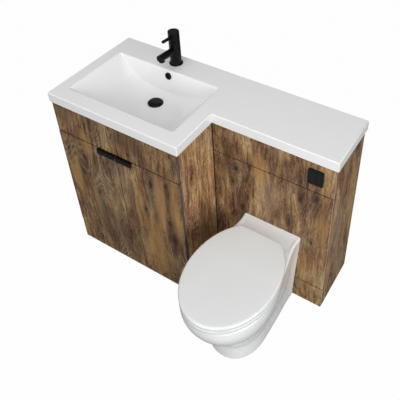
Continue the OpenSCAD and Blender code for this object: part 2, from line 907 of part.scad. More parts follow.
module waste_body() {
    color(BLACK) at_drain() difference() {
        rotate_extrude()
            polygon([
                [waste_bore, waste_low], [waste_r, waste_low], [waste_r, drain_z - drain_recess],
                [waste_flange_r, drain_z - drain_recess], [waste_flange_r, drain_z - 0.5],
                [waste_flange_r - 1, drain_z], [waste_bore + 3, drain_z],
                [waste_bore, drain_z - 3]
            ]);
        for (a = [0, 90])
            translate([0, 0, channel_floor + 4]) rotate(a) cube([60, 9, 7], center = true);
    }
    color(BLACK) at_drain() difference() {
        translate([-waste_bore - 0.5, -3, drain_z - 34]) cube([2 * waste_bore + 1, 6, 12]);
        translate([0, 0, drain_z - 40]) cylinder(r = plug_stem_r + pin_fit, h = 30);
    }
}

module waste_plug() {
    low = drain_z + run_gap;
    color(BLACK) at_drain() {
        rotate_extrude()
            polygon([
                [0, low], [waste_flange_r - 1, low], [waste_flange_r - 0.5, low + 1.5],
                [waste_flange_r - 2, low + 3.5], [waste_flange_r - 8, low + plug_t - 0.4],
                [0, low + plug_t]
            ]);
        translate([0, 0, low - 38]) cylinder(r = plug_stem_r, h = 38);
    }
}

module waste_seal() {
    color(RUBBER) at_drain() ring_z(boss_r - 4, waste_r + seat_fit, boss_low - 4, boss_low);
}

module waste_backnut() {
    color(BLACK) at_drain() difference() {
        translate([0, 0, boss_low - 13]) cylinder(r = boss_r - 5, h = 9, $fn = 8);
        translate([0, 0, boss_low - 20]) cylinder(r = waste_r + pin_fit, h = 20);
    }
}

module trap_bottle() {
    wall = 2.5;
    color(PLASTIC) at_drain() difference() {
        union() {
            rotate_extrude()
                polygon([
                    [0, bottle_low + 6], [bottle_r - 8, bottle_low], [bottle_r, bottle_low + 10],
                    [bottle_r, bottle_top - 62], [bottle_r + 3, bottle_top - 60],
                    [bottle_r + 3, bottle_top - 46], [bottle_r, bottle_top - 44],
                    [bottle_r, bottle_top - 6], [bottle_r - 6, bottle_top],
                    [pipe_r + 5, bottle_top], [pipe_r + 5, bottle_top + 10],
                    [pipe_r + seat_fit, bottle_top + 10], [pipe_r + seat_fit, bottle_top - wall],
                    [bottle_r - 7, bottle_top - wall], [bottle_r - wall, bottle_top - 8],
                    [bottle_r - wall, bottle_low + 12], [bottle_r - 10, bottle_low + wall],
                    [0, bottle_low + 6 + wall]
                ]);
            difference() {
                translate([0, 0, trap_outlet_z]) bar_y(pipe_r + 3, 0, bottle_r + 26);
                translate([0, 0, trap_outlet_z - 30]) cylinder(r = bottle_r - wall, h = 60);
            }
        }
        translate([0, 0, trap_outlet_z]) bar_y(outlet_neck_r + seat_fit, 0, bottle_r + 30);
    }
}

module trap_inlet_pipe() {
    color(PLASTIC) at_drain() ring_z(pipe_r, pipe_r - pipe_wall, bottle_low + 30, waste_low + 14);
}

module trap_outlet_pipe() {
    color(PLASTIC) translate([bowl_x, 0, trap_outlet_z]) difference() {
        union() {
            bar_y(pipe_r, -outlet_free, 0);
            bar_y(outlet_neck_r, -drain_back + bottle_r + 2, -outlet_free + cut);
        }
        bar_y(pipe_r - pipe_wall, -drain_back, cut);
    }
}

module ribbed_nut(z_low, bore_low, bore_high) {
    difference() {
        union() {
            translate([0, 0, z_low]) cylinder(r = nut_r, h = nut_h);
            for (i = [0:11])
                rotate(30 * i) translate([nut_r - 0.5, -1.5, z_low]) cube([2, 3, nut_h - 3]);
        }
        translate([0, 0, z_low - cut]) cylinder(r = bore_low, h = nut_h / 2 + cut);
        translate([0, 0, z_low + nut_h / 2 - 0.01]) cylinder(r = bore_high, h = nut_h);
    }
}

// Nuts at the waste, on the bottle's neck and at the bottle's outlet
module trap_nuts() {
    color(PLASTIC) {
        at_drain() ribbed_nut(waste_low - nut_h / 2, pipe_r + seat_fit, waste_r + pin_fit);
        at_drain() ribbed_nut(bottle_top + 1, pipe_r + 5 + pin_fit, pipe_r + seat_fit);
        translate([bowl_x, outlet_nut_y - nut_h / 2, trap_outlet_z])
            rotate([-90, 0, 0]) ribbed_nut(0, pipe_r + 3 + pin_fit, outlet_neck_r + seat_fit);
    }
}

// ---------- toilet unit ----------

module wc_left_side() {
    color(WOOD) board([0, board_t], [wc_edge, 0], [0, slab_low]);
}

module wc_right_side() {
    color(WOOD) board([wc_right - board_t, wc_right], [wc_edge, 0], [0, slab_low]);
}

wc_in_l = board_t;
wc_in_r = wc_right - board_t;

// Two front rails behind the fronts' gaps and two rear rails, the upper one with fixing holes
module wc_rails() {
    color(WOOD) {
        board([wc_in_l, wc_in_r], [wc_edge, wc_edge + board_t], [fascia_low - 50, fascia_low + 36]);
        board([wc_in_l, wc_in_r], [wc_edge, wc_edge + board_t], [plinth_h - 60, plinth_h + 5]);
        difference() {
            board([wc_in_l, wc_in_r], [-board_t, 0], [slab_low - 50 - wc_rail_back_h, slab_low - 50]);
            for (x = [wc_in_l + wc_wall_hole_in, wc_in_r - wc_wall_hole_in])
                translate([x, 0, slab_low - 50 - wc_rail_back_h / 2])
                    bar_y(wall_hole_r, -board_t - cut, cut);
        }
        board([wc_in_l, wc_in_r], [-board_t, 0], [plinth_h - 60, plinth_h + 5]);
    }
}

wc_front_x = [wc_left_gap, wc_right];

module wc_fascia() {
    color(WOOD) difference() {
        board(wc_front_x, [wc_front, wc_edge], [fascia_low, slab_low]);
        translate([flush_x, 0, flush_z]) bar_y(flush_barrel_r + 1, wc_front - cut, wc_edge + cut);
    }
}

module wc_access_panel() {
    color(WOOD) difference() {
        board(wc_front_x, [wc_front, wc_edge], [door_low, door_high]);
        translate([pan_x, 0, inlet_z]) bar_y(inlet_hole_r, wc_front - cut, wc_edge + cut);
        translate([pan_x, 0, soil_z]) bar_y(soil_hole_r, wc_front - cut, wc_edge + cut);
    }
}

module wc_plinth() {
    color(WOOD) board(wc_front_x, [wc_front, wc_edge], [0, plinth_h]);
}

// ---------- flush plate ----------

module at_flush() {
    translate([flush_x, 0, flush_z]) children();
}

// Upright plate of thickness t, whose front face is at y
module plate_y(w, h, r, y, t) {
    translate([0, y + t, 0]) rotate([90, 0, 0]) linear_extrude(t) round_rect(w, h, r);
}

// Openings of the full and half flush buttons, as [centre, width]
button_span = flush_w - 2 * button_inset;
full_w = button_span * flush_split;
half_w = button_span - full_w;
full_x = -button_span / 2 + full_w / 2;
half_x = button_span / 2 - half_w / 2;
button_h = flush_h - 2 * button_inset;
plate_front = wc_front - flush_proud;

module flush_plate() {
    color(BLACK) at_flush() difference() {
        union() {
            plate_y(flush_w, flush_h, 5, plate_front, flush_proud);
            bar_y(flush_barrel_r, wc_front - 1, wc_edge + 26);
        }
        for (b = [[full_x, full_w], [half_x, half_w]])
            translate([b[0], 0, 0])
                plate_y(b[1], button_h, 1.5, plate_front - cut, cut + 3 + button_travel + 1);
        for (x = [full_x, half_x])
            translate([x, 0, 0]) bar_y(3 + pin_fit, plate_front, wc_edge + 30);
    }
}

module flush_button(x, w) {
    color(BLACK) at_flush() translate([x, 0, 0]) {
        plate_y(w - 2 * run_gap, button_h - 2 * run_gap, 1.2, plate_front - 0.6, 3.6);
        bar_y(3, plate_front + 2, wc_edge + 24);
    }
}

module full_flush_button() {
    flush_button(full_x, full_w);
}

module half_flush_button() {
    flush_button(half_x, half_w);
}

// ---------- cistern ----------

module tank_outline(inset) {
    translate([pan_x, tank_y - tank_d / 2])
        round_rect(tank_w - 2 * inset, tank_d - 2 * inset, 16 - inset);
}

module cistern_tank() {
    color(PLASTIC) difference() {
        union() {
            translate([0, 0, tank_z]) linear_extrude(tank_h) tank_outline(0);
            translate([0, 0, tank_top - 12]) linear_extrude(12) tank_outline(-3);
        }
        translate([0, 0, tank_z + tank_wall]) linear_extrude(tank_h) tank_outline(tank_wall);
        translate([pan_x, valve_y, tank_z - cut]) cylinder(r = 26, h = tank_wall + 2 * cut);
        translate([fill_x, valve_y, tank_z - cut])
            cylinder(r = fill_neck_r + 0.5, h = tank_wall + 2 * cut);
        board([0, 2 * pan_x], [tank_y, 20], [tank_z - cut, tank_top + cut]);
    }
}

module cistern_lid() {
    color(PLASTIC) difference() {
        translate([0, 0, tank_top]) linear_extrude(5) tank_outline(-2);
        board([0, 2 * pan_x], [tank_y, 20], [tank_z, tank_top + 10]);
    }
}

module fill_valve() {
    base = tank_z + tank_wall;
    color(PLASTIC) translate([fill_x, valve_y, 0]) {
        rotate_extrude()
            polygon([
                [6, tank_z - 34], [fill_tail_r, tank_z - 34],
                [fill_tail_r, tank_z - fill_nut_h - 1], [fill_neck_r, tank_z - fill_nut_h - 1],
                [fill_neck_r, base], [20, base],
                [20, base + 6], [12, base + 10], [12, base + 190], [18, base + 194],
                [18, base + 236], [6, base + 240]
            ]);
    }
    color(PLASTIC) translate([fill_x, valve_y, 0])
        ring_z(17, fill_neck_r + pin_fit, tank_z - fill_nut_h, tank_z);
}

// Slides on the fill valve's column and shuts the valve at the top
module float_cup() {
    high = tank_z + tank_wall + 184;
    color("#3f6fa8") translate([fill_x, valve_y, 0]) ring_z(32, 12 + run_gap, high - 60, high);
}

module flush_valve() {
    base = tank_z + tank_wall;
    color(PLASTIC) translate([pan_x, valve_y, 0]) difference() {
        union() {
            rotate_extrude()
                polygon([
                    [18, tank_z - 30], [24, tank_z - 30], [24, base], [valve_base_r, base],
                    [valve_base_r, base + 8], [26, base + 14], [26, base + 190], [22, base + 190],
                    [22, base + 14], [18, base + 10]
                ]);
            ring_z(33, 24 + pin_fit, tank_z - 14, tank_z);
        }
        for (a = [0, 60, 120])
            translate([0, 0, base + 70]) rotate(a) cube([80, 12, 90], center = true);
    }
}

// Lifted by the full flush button, it lets the water out under its seal
module flush_lifter() {
    base = tank_z + tank_wall + 10;
    color("#c9473c") translate([pan_x, valve_y, 0])
        rotate_extrude()
            polygon([
                [0, base + run_gap], [17, base + run_gap], [20, base + 3.5], [20, base + 6],
                [9, base + 9], [9, base + 200], [0, base + 200]
            ]);
}

// Bent pipe from the flush valve to the pan, with its nut
module flush_pipe() {
    y_in = pan_back - 30;
    y_bend = valve_y - flush_bend;
    z_bend = inlet_z + flush_bend;
    color(PLASTIC) translate([pan_x, valve_y, 0])
        ring_z(flush_pipe_r, flush_pipe_r - 2, z_bend, tank_z - 31);
    color(PLASTIC) translate([pan_x, y_bend, z_bend]) rotate([0, 90, 0])
        rotate_extrude(angle = 90) translate([flush_bend, 0]) difference() {
            circle(flush_pipe_r);
            circle(flush_pipe_r - 2);
        }
    color(PLASTIC) translate([pan_x, 0, inlet_z]) difference() {
        bar_y(flush_pipe_r, y_in, y_bend);
        bar_y(flush_pipe_r - 2, y_in - cut, y_bend + cut);
    }
    color(PLASTIC) translate([pan_x, valve_y, 0])
        ring_z(31, 24 + pin_fit, tank_z - 40, tank_z - 16);
}

module flush_pipe_seal() {
    color(RUBBER) translate([pan_x, 0, inlet_z]) difference() {
        union() {
            bar_y(inlet_bore_r - seat_fit, pan_back - 24, pan_back);
            bar_y(inlet_bore_r + 3, pan_back, pan_back + 6);
        }
        bar_y(flush_pipe_r + seat_fit, pan_back - 40, pan_back + 20);
    }
}

module soil_connector() {
    mouth = pan_back + 10;
    color(PLASTIC) translate([pan_x, 0, soil_z]) difference() {
        union() {
            bar_y(soil_r, mouth + 40, 0);
            bar_y(soil_r + 5, mouth, mouth + 52);
        }
        bar_y(soil_r - 4, mouth + 36, cut);
        bar_y(spigot_r + 1, mouth - cut, mouth + 38);
        for (y = [mouth + 10, mouth + 20, mouth + 30])
            bar_y(spigot_r + 2.5, y, y + 4);
    }
}

// ---------- pan ----------

// Right half outline of the pan at a blend b, from the foot at 0 to the rim at 1, at a share
// of its height; it draws in between its widest place and the panel
function pan_half(b, rise, inset, back) = let (
    w_back = lerp(foot_back_w, pan_back_w, rise) - inset,
    waist = waist_low + (waist_high - waist_low) * sin(150 * rise),
    w = lerp(foot_w, rim_w, b) - inset,
    mid = -lerp(foot_mid, rim_mid, b),
    front = lerp(foot_front, rim_front, b) + mid - inset,
    power = lerp(2.7, 2.1, b))
    concat(
        front_quarter(w, front, mid, power, pan_points),
        [for (i = [0:side_points]) let (u = i / side_points)
            [lerp(w, w_back, ease(u)) - waist * sin(180 * pow(u, 3)), lerp(mid, back, u)]]);
function pan_blend(z) = let (t = clamp01((z - blend_low) / (blend_high - blend_low)))
    pow(t * t * (3 - 2 * t), 0.85);
function pan_ring(z, inset, back) =
    at_z(both_halves(pan_half(pan_blend(z), z / pan_h, inset, back)), z);

// Closed oval of half width a, with its own reach to the front and the back
function oval(a, front, back, n) = let (step = 90 / n)
    [for (i = [0:4 * n - 1]) let (t = -90 + step * i, reach = t < 0 || t > 180 ? front : back)
        [a * cos(t), reach * sin(t)]];
function bowl_slice(z, a, mid, front, back) =
    [for (p = oval(a, front, back, 7)) [p[0], p[1] - mid, z]];
// Slice of the bowl at t, from 0 at the well to 1 under the rim, grown by g
function bowl_step(t, g) = bowl_slice(
    lerp(well_z, bowl_under, 1 - cos(90 * t)),
    lerp(50, 130, sin(90 * t)) + g,
    lerp(well_back, rim_mid, t),
    lerp(52, 158, sin(90 * t)) + g,
    lerp(50, 148, sin(90 * t)) + g);
bowl_steps = [0.15, 0.32, 0.5, 0.68, 0.84, 1];

// The water's way from the well over the weir to the outlet, as [y, z]
trap_path = [
    [-472, 118], [-440, 116], [-410, 124], [-386, 146], [-362, 172], [-330, 184],
    [-296, soil_z], [-262, soil_z]
];
function trap_ring(i, r) = let (
    a = trap_path[max(0, i - 1)],
    b = trap_path[min(len(trap_path) - 1, i + 1)],
    t = (b - a) / norm(b - a),
    p = trap_path[i])
    [for (k = [0:15]) let (c = r * cos(22.5 * k), s = r * sin(22.5 * k))
        [c, p[0] + s * t[1], p[1] - s * t[0]]];

module pan_outside() {
    loft(concat(
        [for (z = [0, 30, blend_low, 100, 130, 160, 190, 220, 250, 280, 310, blend_high, pan_h - 9])
            pan_ring(z, 0, pan_back)],
        [pan_ring(pan_h - 4, 1.4, pan_back), pan_ring(pan_h - 1, 4.2, pan_back),
         pan_ring(pan_h, 8, pan_back)]));
}

module pan_hollow() {
    loft([for (z = [-1, blend_low, 120, 160, 200, 240, 280, blend_high - 10, pan_h - deck_t])
        pan_ring(z, pan_wall, pan_back + 2)]);
}

module pan_bowl(g) {
    loft(concat(
        [bowl_slice(well_low - g, 34 + g, well_back, 34 + g, 34 + g),
         bowl_slice(well_low + 8 - g / 2, 44 + g, well_back, 44 + g, 44 + g)],
        [for (t = bowl_steps) bowl_step(t, g)]));
}

// Opening inside the rim, narrower than the bowl under it
module rim_opening() {
    loft([
        bowl_slice(bowl_under - 1, 118, rim_mid, 146, 136),
        bowl_slice(bowl_under + 5, 113, rim_mid, 141, 131),
        bowl_slice(pan_h - 7, 113, rim_mid, 141, 131),
        bowl_slice(pan_h - 2, 115, rim_mid, 143, 133),
        bowl_slice(pan_h + 1, 119, rim_mid, 147, 137)
    ]);
}

module pan() {
    color(CERAMIC) translate([pan_x, 0, 0]) difference() {
        union() {
            difference() {
                pan_outside();
                pan_hollow();
            }
            intersection() {
                pan_outside();
                union() {
                    pan_bowl(10);
                    loft([bowl_step(1, 10), [for (p = bowl_step(1, 10)) [p[0], p[1], pan_h - 3]]]);
                    loft([for (i = [0:len(trap_path) - 1]) trap_ring(i, trap_r + 9)]);
                    translate([0, 0, inlet_z]) bar_y(inlet_bore_r + 9, -rim_mid + 130, pan_back);
                }
            }
            translate([0, 0, soil_z]) bar_y(spigot_r, pan_back - 30, pan_back + spigot_out);
        }
        pan_bowl(0);
        rim_opening();
        loft([for (i = [0:len(trap_path) - 1]) trap_ring(i, trap_r)]);
        translate([0, 0, soil_z]) bar_y(spigot_bore_r, pan_back - 20, pan_back + spigot_out + cut);
        translate([0, 0, inlet_z]) bar_y(inlet_bore_r, pan_back - 40, pan_back + cut);
        translate([0, 0, inlet_z]) bar_y(18, -rim_mid + 120, pan_back);
        for (x = [-hinge_span / 2, hinge_span / 2])
            translate([x, hinge_y, pan_h - 60]) cylinder(r = bolt_hole_r, h = 70);
        translate([0, -side_hole_back, side_hole_z]) bar_x(5, 2 * foot_w + 20);
    }
}

bracket_out = foot_w - pan_wall - 2;

module pan_brackets() {
    color(PLASTIC) translate([pan_x, -side_hole_back, 0]) for (side = [-1, 1]) difference() {
        translate([side * (bracket_out - bracket_w / 2), 0, bracket_h / 2])
            difference() {
                cube([bracket_w, 36, bracket_h], center = true);
                translate([-side * 10, 0, 10]) cube([bracket_w, 28, bracket_h], center = true);
            }
        translate([side * floor_hole_x, 0, -cut]) cylinder(r = floor_hole_r, h = bracket_h);
        translate([side * bracket_out, 0, side_hole_z]) bar_x(2.6, 30);
    }
}

module pan_screws() {
    color(STEEL) translate([pan_x, -side_hole_back, side_hole_z]) for (side = [-1, 1])
        rotate([0, 90 * side, 0]) {
            translate([0, 0, bracket_out - 10]) cylinder(r = 2.5, h = foot_w - bracket_out + 4);
            translate([0, 0, foot_w - 8]) cylinder(r = 4.4, h = 4);
        }
}

// ---------- seat ----------

// Outline of the lid and the seat, with a straight back edge
function seat_outline(inset) = let (
    a = seat_w / 2 - inset,
    rear = seat_rear - inset,
    back = seat_mid - seat_back - inset,
    last = asin(back / rear),
    n = 7)
    both_halves(concat(
        front_quarter(a, seat_front - seat_mid - inset, -seat_mid, 2, 11),
        [for (i = [0:n]) let (t = last * i / n) [a * cos(t), -seat_mid + rear * sin(t)]]));

module seat_slab(z_low, z_high, round_low, round_high) {
    loft(concat(
        [for (i = [0:2]) let (a = 30 * i)
            at_z(seat_outline(round_low * (1 - sin(a))), z_low + round_low * (1 - cos(a)))],
        [at_z(seat_outline(0), z_low + round_low)],
        [for (i = [0:3]) let (a = 30 * i)
            at_z(seat_outline(round_high * (1 - cos(a))),
                 z_high - round_high + round_high * sin(a))]));
}

function seat_hole(g, z) = bowl_slice(z, 103 + g, rim_mid, 134 + g, 118 + g);

// Space round each hinge: half width in X, behind the given Y
module hinge_notch(half, y, z_low, z_high) {
    for (x = [-hinge_span / 2, hinge_span / 2])
        board([x - half, x + half], [hinge_y - y, hinge_y + 60], [z_low, z_high]);
}

module knuckle(offset) {
    for (side = [-1, 1])
        translate([side * (hinge_span / 2 + offset), hinge_y, hinge_z]) bar_x(knuckle_r, lug_w);
}

lug_offset = post_w / 2 + run_gap + lug_w / 2;

module seat() {
    notch = post_w / 2 + lug_w + 2 * run_gap;
    color(PLASTIC) translate([pan_x, 0, 0]) difference() {
        union() {
            difference() {
                seat_slab(seat_low, seat_high, 2, 4);
                hinge_notch(notch, knuckle_r + 3, seat_low - cut, seat_high + cut);
                board([-200, 200], [-seat_back - hinge_in / 2, 0], [seat_low - cut, seat_high + cut]);
            }
            knuckle(-lug_offset);
            for (side = [-1, 1])
                translate([side * (hinge_span / 2 - lug_offset) - lug_w / 2,
                           hinge_y - knuckle_r - 5, hinge_z - knuckle_r])
                    cube([lug_w, knuckle_r + 5, 2 * knuckle_r - 2]);
        }
        loft([
            seat_hole(4, seat_low - cut), seat_hole(0.5, seat_low + 3), seat_hole(0, seat_low + 8),
            seat_hole(1.5, seat_high - 2.5), seat_hole(5, seat_high), seat_hole(7, seat_high + cut)
        ]);
        for (side = [-1, 1])
            translate([side * (hinge_span / 2 - lug_offset), hinge_y, hinge_z])
                bar_x(hinge_pin_r + pin_fit, lug_w + 2);
    }
}

module seat_lid() {
    notch = post_w / 2 + lug_w + 2 * run_gap;
    wall = 6;
    color(PLASTIC) translate([pan_x, 0, 0]) difference() {
        union() {
            difference() {
                seat_slab(lid_low, lid_high, 2, 7);
                difference() {
                    translate([0, 0, lid_low - cut])
                        linear_extrude(lid_t - wall + cut) polygon(seat_outline(9));
                    board([-200, 200], [hinge_y - 40, hinge_y - 34], [lid_low - 2, lid_high]);
                }
                hinge_notch(notch, knuckle_r + 3, lid_low - cut, lid_high - wall + 1);
            }
            knuckle(lug_offset);
            for (side = [-1, 1])
                translate([side * (hinge_span / 2 + lug_offset) - lug_w / 2,
                           hinge_y - knuckle_r, hinge_z])
                    cube([lug_w, 2 * knuckle_r, lid_high - wall + 1 - hinge_z]);
        }
        for (side = [-1, 1])
            translate([side * (hinge_span / 2 + lug_offset), hinge_y, hinge_z])
                bar_x(hinge_pin_r + pin_fit, lug_w + 2);
    }
}

module seat_buffers() {
    color(PLASTIC) translate([pan_x, 0, 0])
        for (x = [-1, 1], p = [[118, 430], [112, 650]])
            translate([x * p[0], -p[1], pan_h + 0.3]) cylinder(r = 9, h = seat_gap - 0.3);
}

// Posts with their threaded studs through the pan's deck
module seat_hinge_posts() {
    color(STEEL) translate([pan_x, 0, 0]) for (side = [-1, 1])
        translate([side * hinge_span / 2, hinge_y, 0]) difference() {
            union() {
                translate([0, 0, hinge_z]) bar_x(knuckle_r, post_w);
                board(post_w / 2 * [-1, 1], knuckle_r * [-1, 1], [pan_h, hinge_z]);
                translate([0, 0, pan_h - 46]) cylinder(r = hinge_bolt_r, h = 50);
            }
            translate([0, 0, hinge_z]) bar_x(hinge_pin_r, post_w + 2);
        }
}

module seat_hinge_pins() {
    color(STEEL) translate([pan_x, 0, 0]) for (side = [-1, 1])
        translate([side * hinge_span / 2, hinge_y, hinge_z])
            bar_x(hinge_pin_r, post_w + 2 * lug_w + 2 * run_gap);
}

module seat_hinge_nuts() {
    color(PLASTIC) translate([pan_x, 0, 0]) for (side = [-1, 1])
        translate([side * hinge_span / 2, hinge_y, pan_h - deck_t]) difference() {
            union() {
                translate([0, 0, -5]) cylinder(r = 14, h = 5);
                translate([0, 0, -20]) cylinder(r = 9, h = 16);
                translate([-17, -2, -20]) cube([34, 4, 13]);
            }
            translate([0, 0, -30]) cylinder(r = hinge_bolt_r + pin_fit, h = 40);
        }
}

worktop();
overflow_ring();
basin_left_side();
basin_right_side();
basin_floor_panel();
basin_shelf();
shelf_pins();
basin_rails();
basin_fascia();
basin_plinth();
left_door();
right_door();
left_handle();
right_handle();
left_hinge_cups();
right_hinge_cups();
hinge_arms();
tap_body();
tap_aerator();
tap_cartridge();
tap_turret();
tap_handle();
tap_lever();
tap_stud();
tap_nut();
waste_body();
waste_plug();
waste_seal();
waste_backnut();
trap_bottle();
trap_inlet_pipe();
trap_outlet_pipe();
trap_nuts();
wc_left_side();
wc_right_side();
wc_rails();
wc_fascia();
wc_access_panel();
wc_plinth();
flush_plate();
full_flush_button();
half_flush_button();
cistern_tank();
cistern_lid();
fill_valve();
float_cup();
flush_valve();
flush_lifter();
flush_pipe();
flush_pipe_seal();
soil_connector();
pan();
pan_brackets();
pan_screws();
seat();
seat_lid();
seat_buffers();
seat_hinge_posts();
seat_hinge_pins();
seat_hinge_nuts();
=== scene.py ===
"""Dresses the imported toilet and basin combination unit: meshes, finishes, light and camera."""

import json
import logging
import math
from dataclasses import dataclass, field
from enum import Enum
from typing import Callable, Iterable, Optional, Sequence, Union

import bmesh
import bpy
from mathutils import Matrix, Vector


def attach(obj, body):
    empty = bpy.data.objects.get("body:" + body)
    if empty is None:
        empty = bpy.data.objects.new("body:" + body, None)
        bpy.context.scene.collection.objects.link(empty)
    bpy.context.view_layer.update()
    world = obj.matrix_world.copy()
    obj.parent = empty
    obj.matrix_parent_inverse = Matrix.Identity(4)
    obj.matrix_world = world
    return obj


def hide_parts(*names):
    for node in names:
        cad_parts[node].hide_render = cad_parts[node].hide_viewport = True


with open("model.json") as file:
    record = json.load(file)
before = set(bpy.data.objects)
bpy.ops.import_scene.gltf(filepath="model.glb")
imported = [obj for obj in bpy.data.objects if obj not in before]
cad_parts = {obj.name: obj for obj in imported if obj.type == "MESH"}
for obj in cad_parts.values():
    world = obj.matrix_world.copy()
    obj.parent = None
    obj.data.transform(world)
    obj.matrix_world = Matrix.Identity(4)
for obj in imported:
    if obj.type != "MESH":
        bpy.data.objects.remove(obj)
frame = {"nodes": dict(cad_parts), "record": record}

log = logging.getLogger("combination_unit")
MM = 0.001
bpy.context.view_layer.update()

Point = tuple[float, float, float]
Ring = list[Point]
Spot = tuple[float, float]
Plan = list[Spot]
Colour = tuple[float, float, float]
Socket = bpy.types.NodeSocket
Value = Union[float, Socket]


# ---------- small helpers ----------

def lerp(a: float, b: float, t: float) -> float:
    """Returns the value a share t of the way from a to b."""
    return a + (b - a) * t


def smooth(edge0: float, edge1: float, x: float) -> float:
    """Returns 0 before edge0, 1 after edge1 and a soft rise between them."""
    t = min(1.0, max(0.0, (x - edge0) / (edge1 - edge0)))
    return t * t * (3 - 2 * t)


def srgb(r: int, g: int, b: int) -> Colour:
    """Returns a display colour of 0 to 255 as linear values."""
    def channel(v: int) -> float:
        """Returns one channel as a linear value."""
        c = v / 255
        return c / 12.92 if c <= 0.04045 else ((c + 0.055) / 1.055) ** 2.4
    return channel(r), channel(g), channel(b)


def bend_corner(before: Point, corner: Point, after: Point, reach: float,
                steps: int = 5) -> Ring:
    """Rounds one corner of an outline.

    Args:
        before: The outline's point before the corner.
        corner: The sharp corner.
        after: The point after it.
        reach: How far from the corner the round begins.
        steps: Number of pieces in the round.

    Returns:
        The points that take the corner's place.
    """
    c = Vector(corner)
    a = c + (Vector(before) - c).normalized() * reach
    b = c + (Vector(after) - c).normalized() * reach
    out = []
    for i in range(steps + 1):
        t = i / steps
        out.append(tuple(a * (1 - t) ** 2 + c * 2 * t * (1 - t) + b * t * t))
    return out


def quarter_arc(x: float, y: float, radius: float, start: float, steps: int) -> Plan:
    """Returns a quarter circle about a middle, from an angle in degrees."""
    angles = [math.radians(start + 90 * i / steps) for i in range(steps + 1)]
    return [(x + radius * math.cos(a), y + radius * math.sin(a)) for a in angles]


def quarter_round(steps: int) -> list[tuple[float, float]]:
    """Returns how far in and how far up each step of a rounded edge lies, for a radius of 1."""
    angles = [math.radians(90 * i / steps) for i in range(1, steps + 1)]
    return [(1 - math.cos(a), math.sin(a)) for a in angles]


def both_halves(middle: float, right: Plan, z: float) -> Ring:
    """Returns a level ring from its right half, which starts and ends near the middle."""
    left = [(-x, y) for x, y in reversed(right[1:])]
    return [(middle + x, y, z) for x, y in [*right, *left]]


# ---------- mesh work ----------

def key(co: Vector) -> tuple[int, int, int]:
    """Returns a place as whole hundredths of a micrometre, to find a vertex by."""
    return round(co.x * 1e8), round(co.y * 1e8), round(co.z * 1e8)


def edges_of(verts: Iterable[bmesh.types.BMVert]) -> list[bmesh.types.BMEdge]:
    """Returns the edges at some vertices, each once, in order."""
    return list(dict.fromkeys(e for v in verts for e in v.link_edges))


class Loft:
    """A skin that grows ring by ring in a bmesh; ring points are in millimetres."""

    def __init__(self, bm: bmesh.types.BMesh, first: Ring) -> None:
        """Starts with one open ring."""
        self.bm = bm
        made = bmesh.ops.create_circle(bm, cap_ends=False, radius=1.0, segments=len(first))
        self.verts = list(made["verts"])
        self.edges = edges_of(self.verts)
        self.place(first)
        self.first_edges = list(self.edges)

    def place(self, ring: Ring) -> None:
        """Moves the current ring's vertices onto a ring's points."""
        for vert, point in zip(self.verts, ring):
            vert.co = Vector(point) * MM

    def grow(self, ring: Ring) -> None:
        """Extrudes the current ring onto the next ring's points."""
        before = {key(v.co): i for i, v in enumerate(self.verts)}
        out = bmesh.ops.extrude_edge_only(self.bm, edges=self.edges)["geom"]
        fresh = [g for g in out if isinstance(g, bmesh.types.BMVert)]
        ordered: list[Optional[bmesh.types.BMVert]] = [None] * len(self.verts)
        for vert in fresh:
            ordered[before[key(vert.co)]] = vert
        self.edges = [g for g in out if isinstance(g, bmesh.types.BMEdge)
                      and g.verts[0] in fresh and g.verts[1] in fresh]
        self.verts = ordered
        self.place(ring)

    def through(self, rings: Iterable[Ring]) -> "Loft":
        """Extrudes through several rings in turn."""
        for ring in rings:
            self.grow(ring)
        return self

    def pole(self, point: Point) -> "Loft":
        """Closes the current ring in one point."""
        self.grow([point for _ in self.verts])
        bmesh.ops.pointmerge(self.bm, verts=self.verts, merge_co=Vector(point) * MM)
        return self


def spin_profile(bm: bmesh.types.BMesh, profile: Plan, centre: Point, steps: int = 48,
                 matrix: Optional[Matrix] = None) -> None:
    """Turns a profile about an upright axis.

    Args:
        bm: The bmesh that gets the shape.
        profile: Radius and height of each point, in millimetres.
        centre: Where the axis stands, in millimetres.
        steps: Number of pieces round the axis.
        matrix: Turns the finished shape about the centre.
    """
    verts = [bm.verts.new((r * MM, 0, z * MM)) for r, z in profile]
    edges = [bm.edges.new(pair) for pair in zip(verts, verts[1:])
             if pair[0].co.x or pair[1].co.x]
    bmesh.ops.spin(bm, geom=verts + edges, cent=(0, 0, 0), axis=(0, 0, 1), dvec=(0, 0, 0),
                   angle=2 * math.pi, steps=steps, use_merge=True, use_duplicate=False)
    own = [v for v in bm.verts if not v.tag]
    place = Matrix.Translation(Vector(centre) * MM) @ (matrix or Matrix.Identity(4))
    bmesh.ops.remove_doubles(bm, verts=own, dist=1e-7)
    own = [v for v in bm.verts if not v.tag]
    bmesh.ops.transform(bm, matrix=place, verts=own)
    for v in bm.verts:
        v.tag = True


def add_box(bm: bmesh.types.BMesh, low: Point, high: Point, bevel: float = 0.0,
            segments: int = 2) -> None:
    """Adds a box between two corners in millimetres, its edges rounded by bevel."""
    made = bmesh.ops.create_cube(bm, size=1.0)["verts"]
    size = [h - l for l, h in zip(low, high)]
    middle = [(h + l) / 2 for l, h in zip(low, high)]
    bmesh.ops.scale(bm, vec=Vector(size) * MM, verts=made)
    bmesh.ops.translate(bm, vec=Vector(middle) * MM, verts=made)
    if bevel:
        bmesh.ops.bevel(bm, geom=edges_of(made), offset=bevel * MM, offset_type="OFFSET",
                        segments=segments, profile=0.5, affect="EDGES", material=-1)


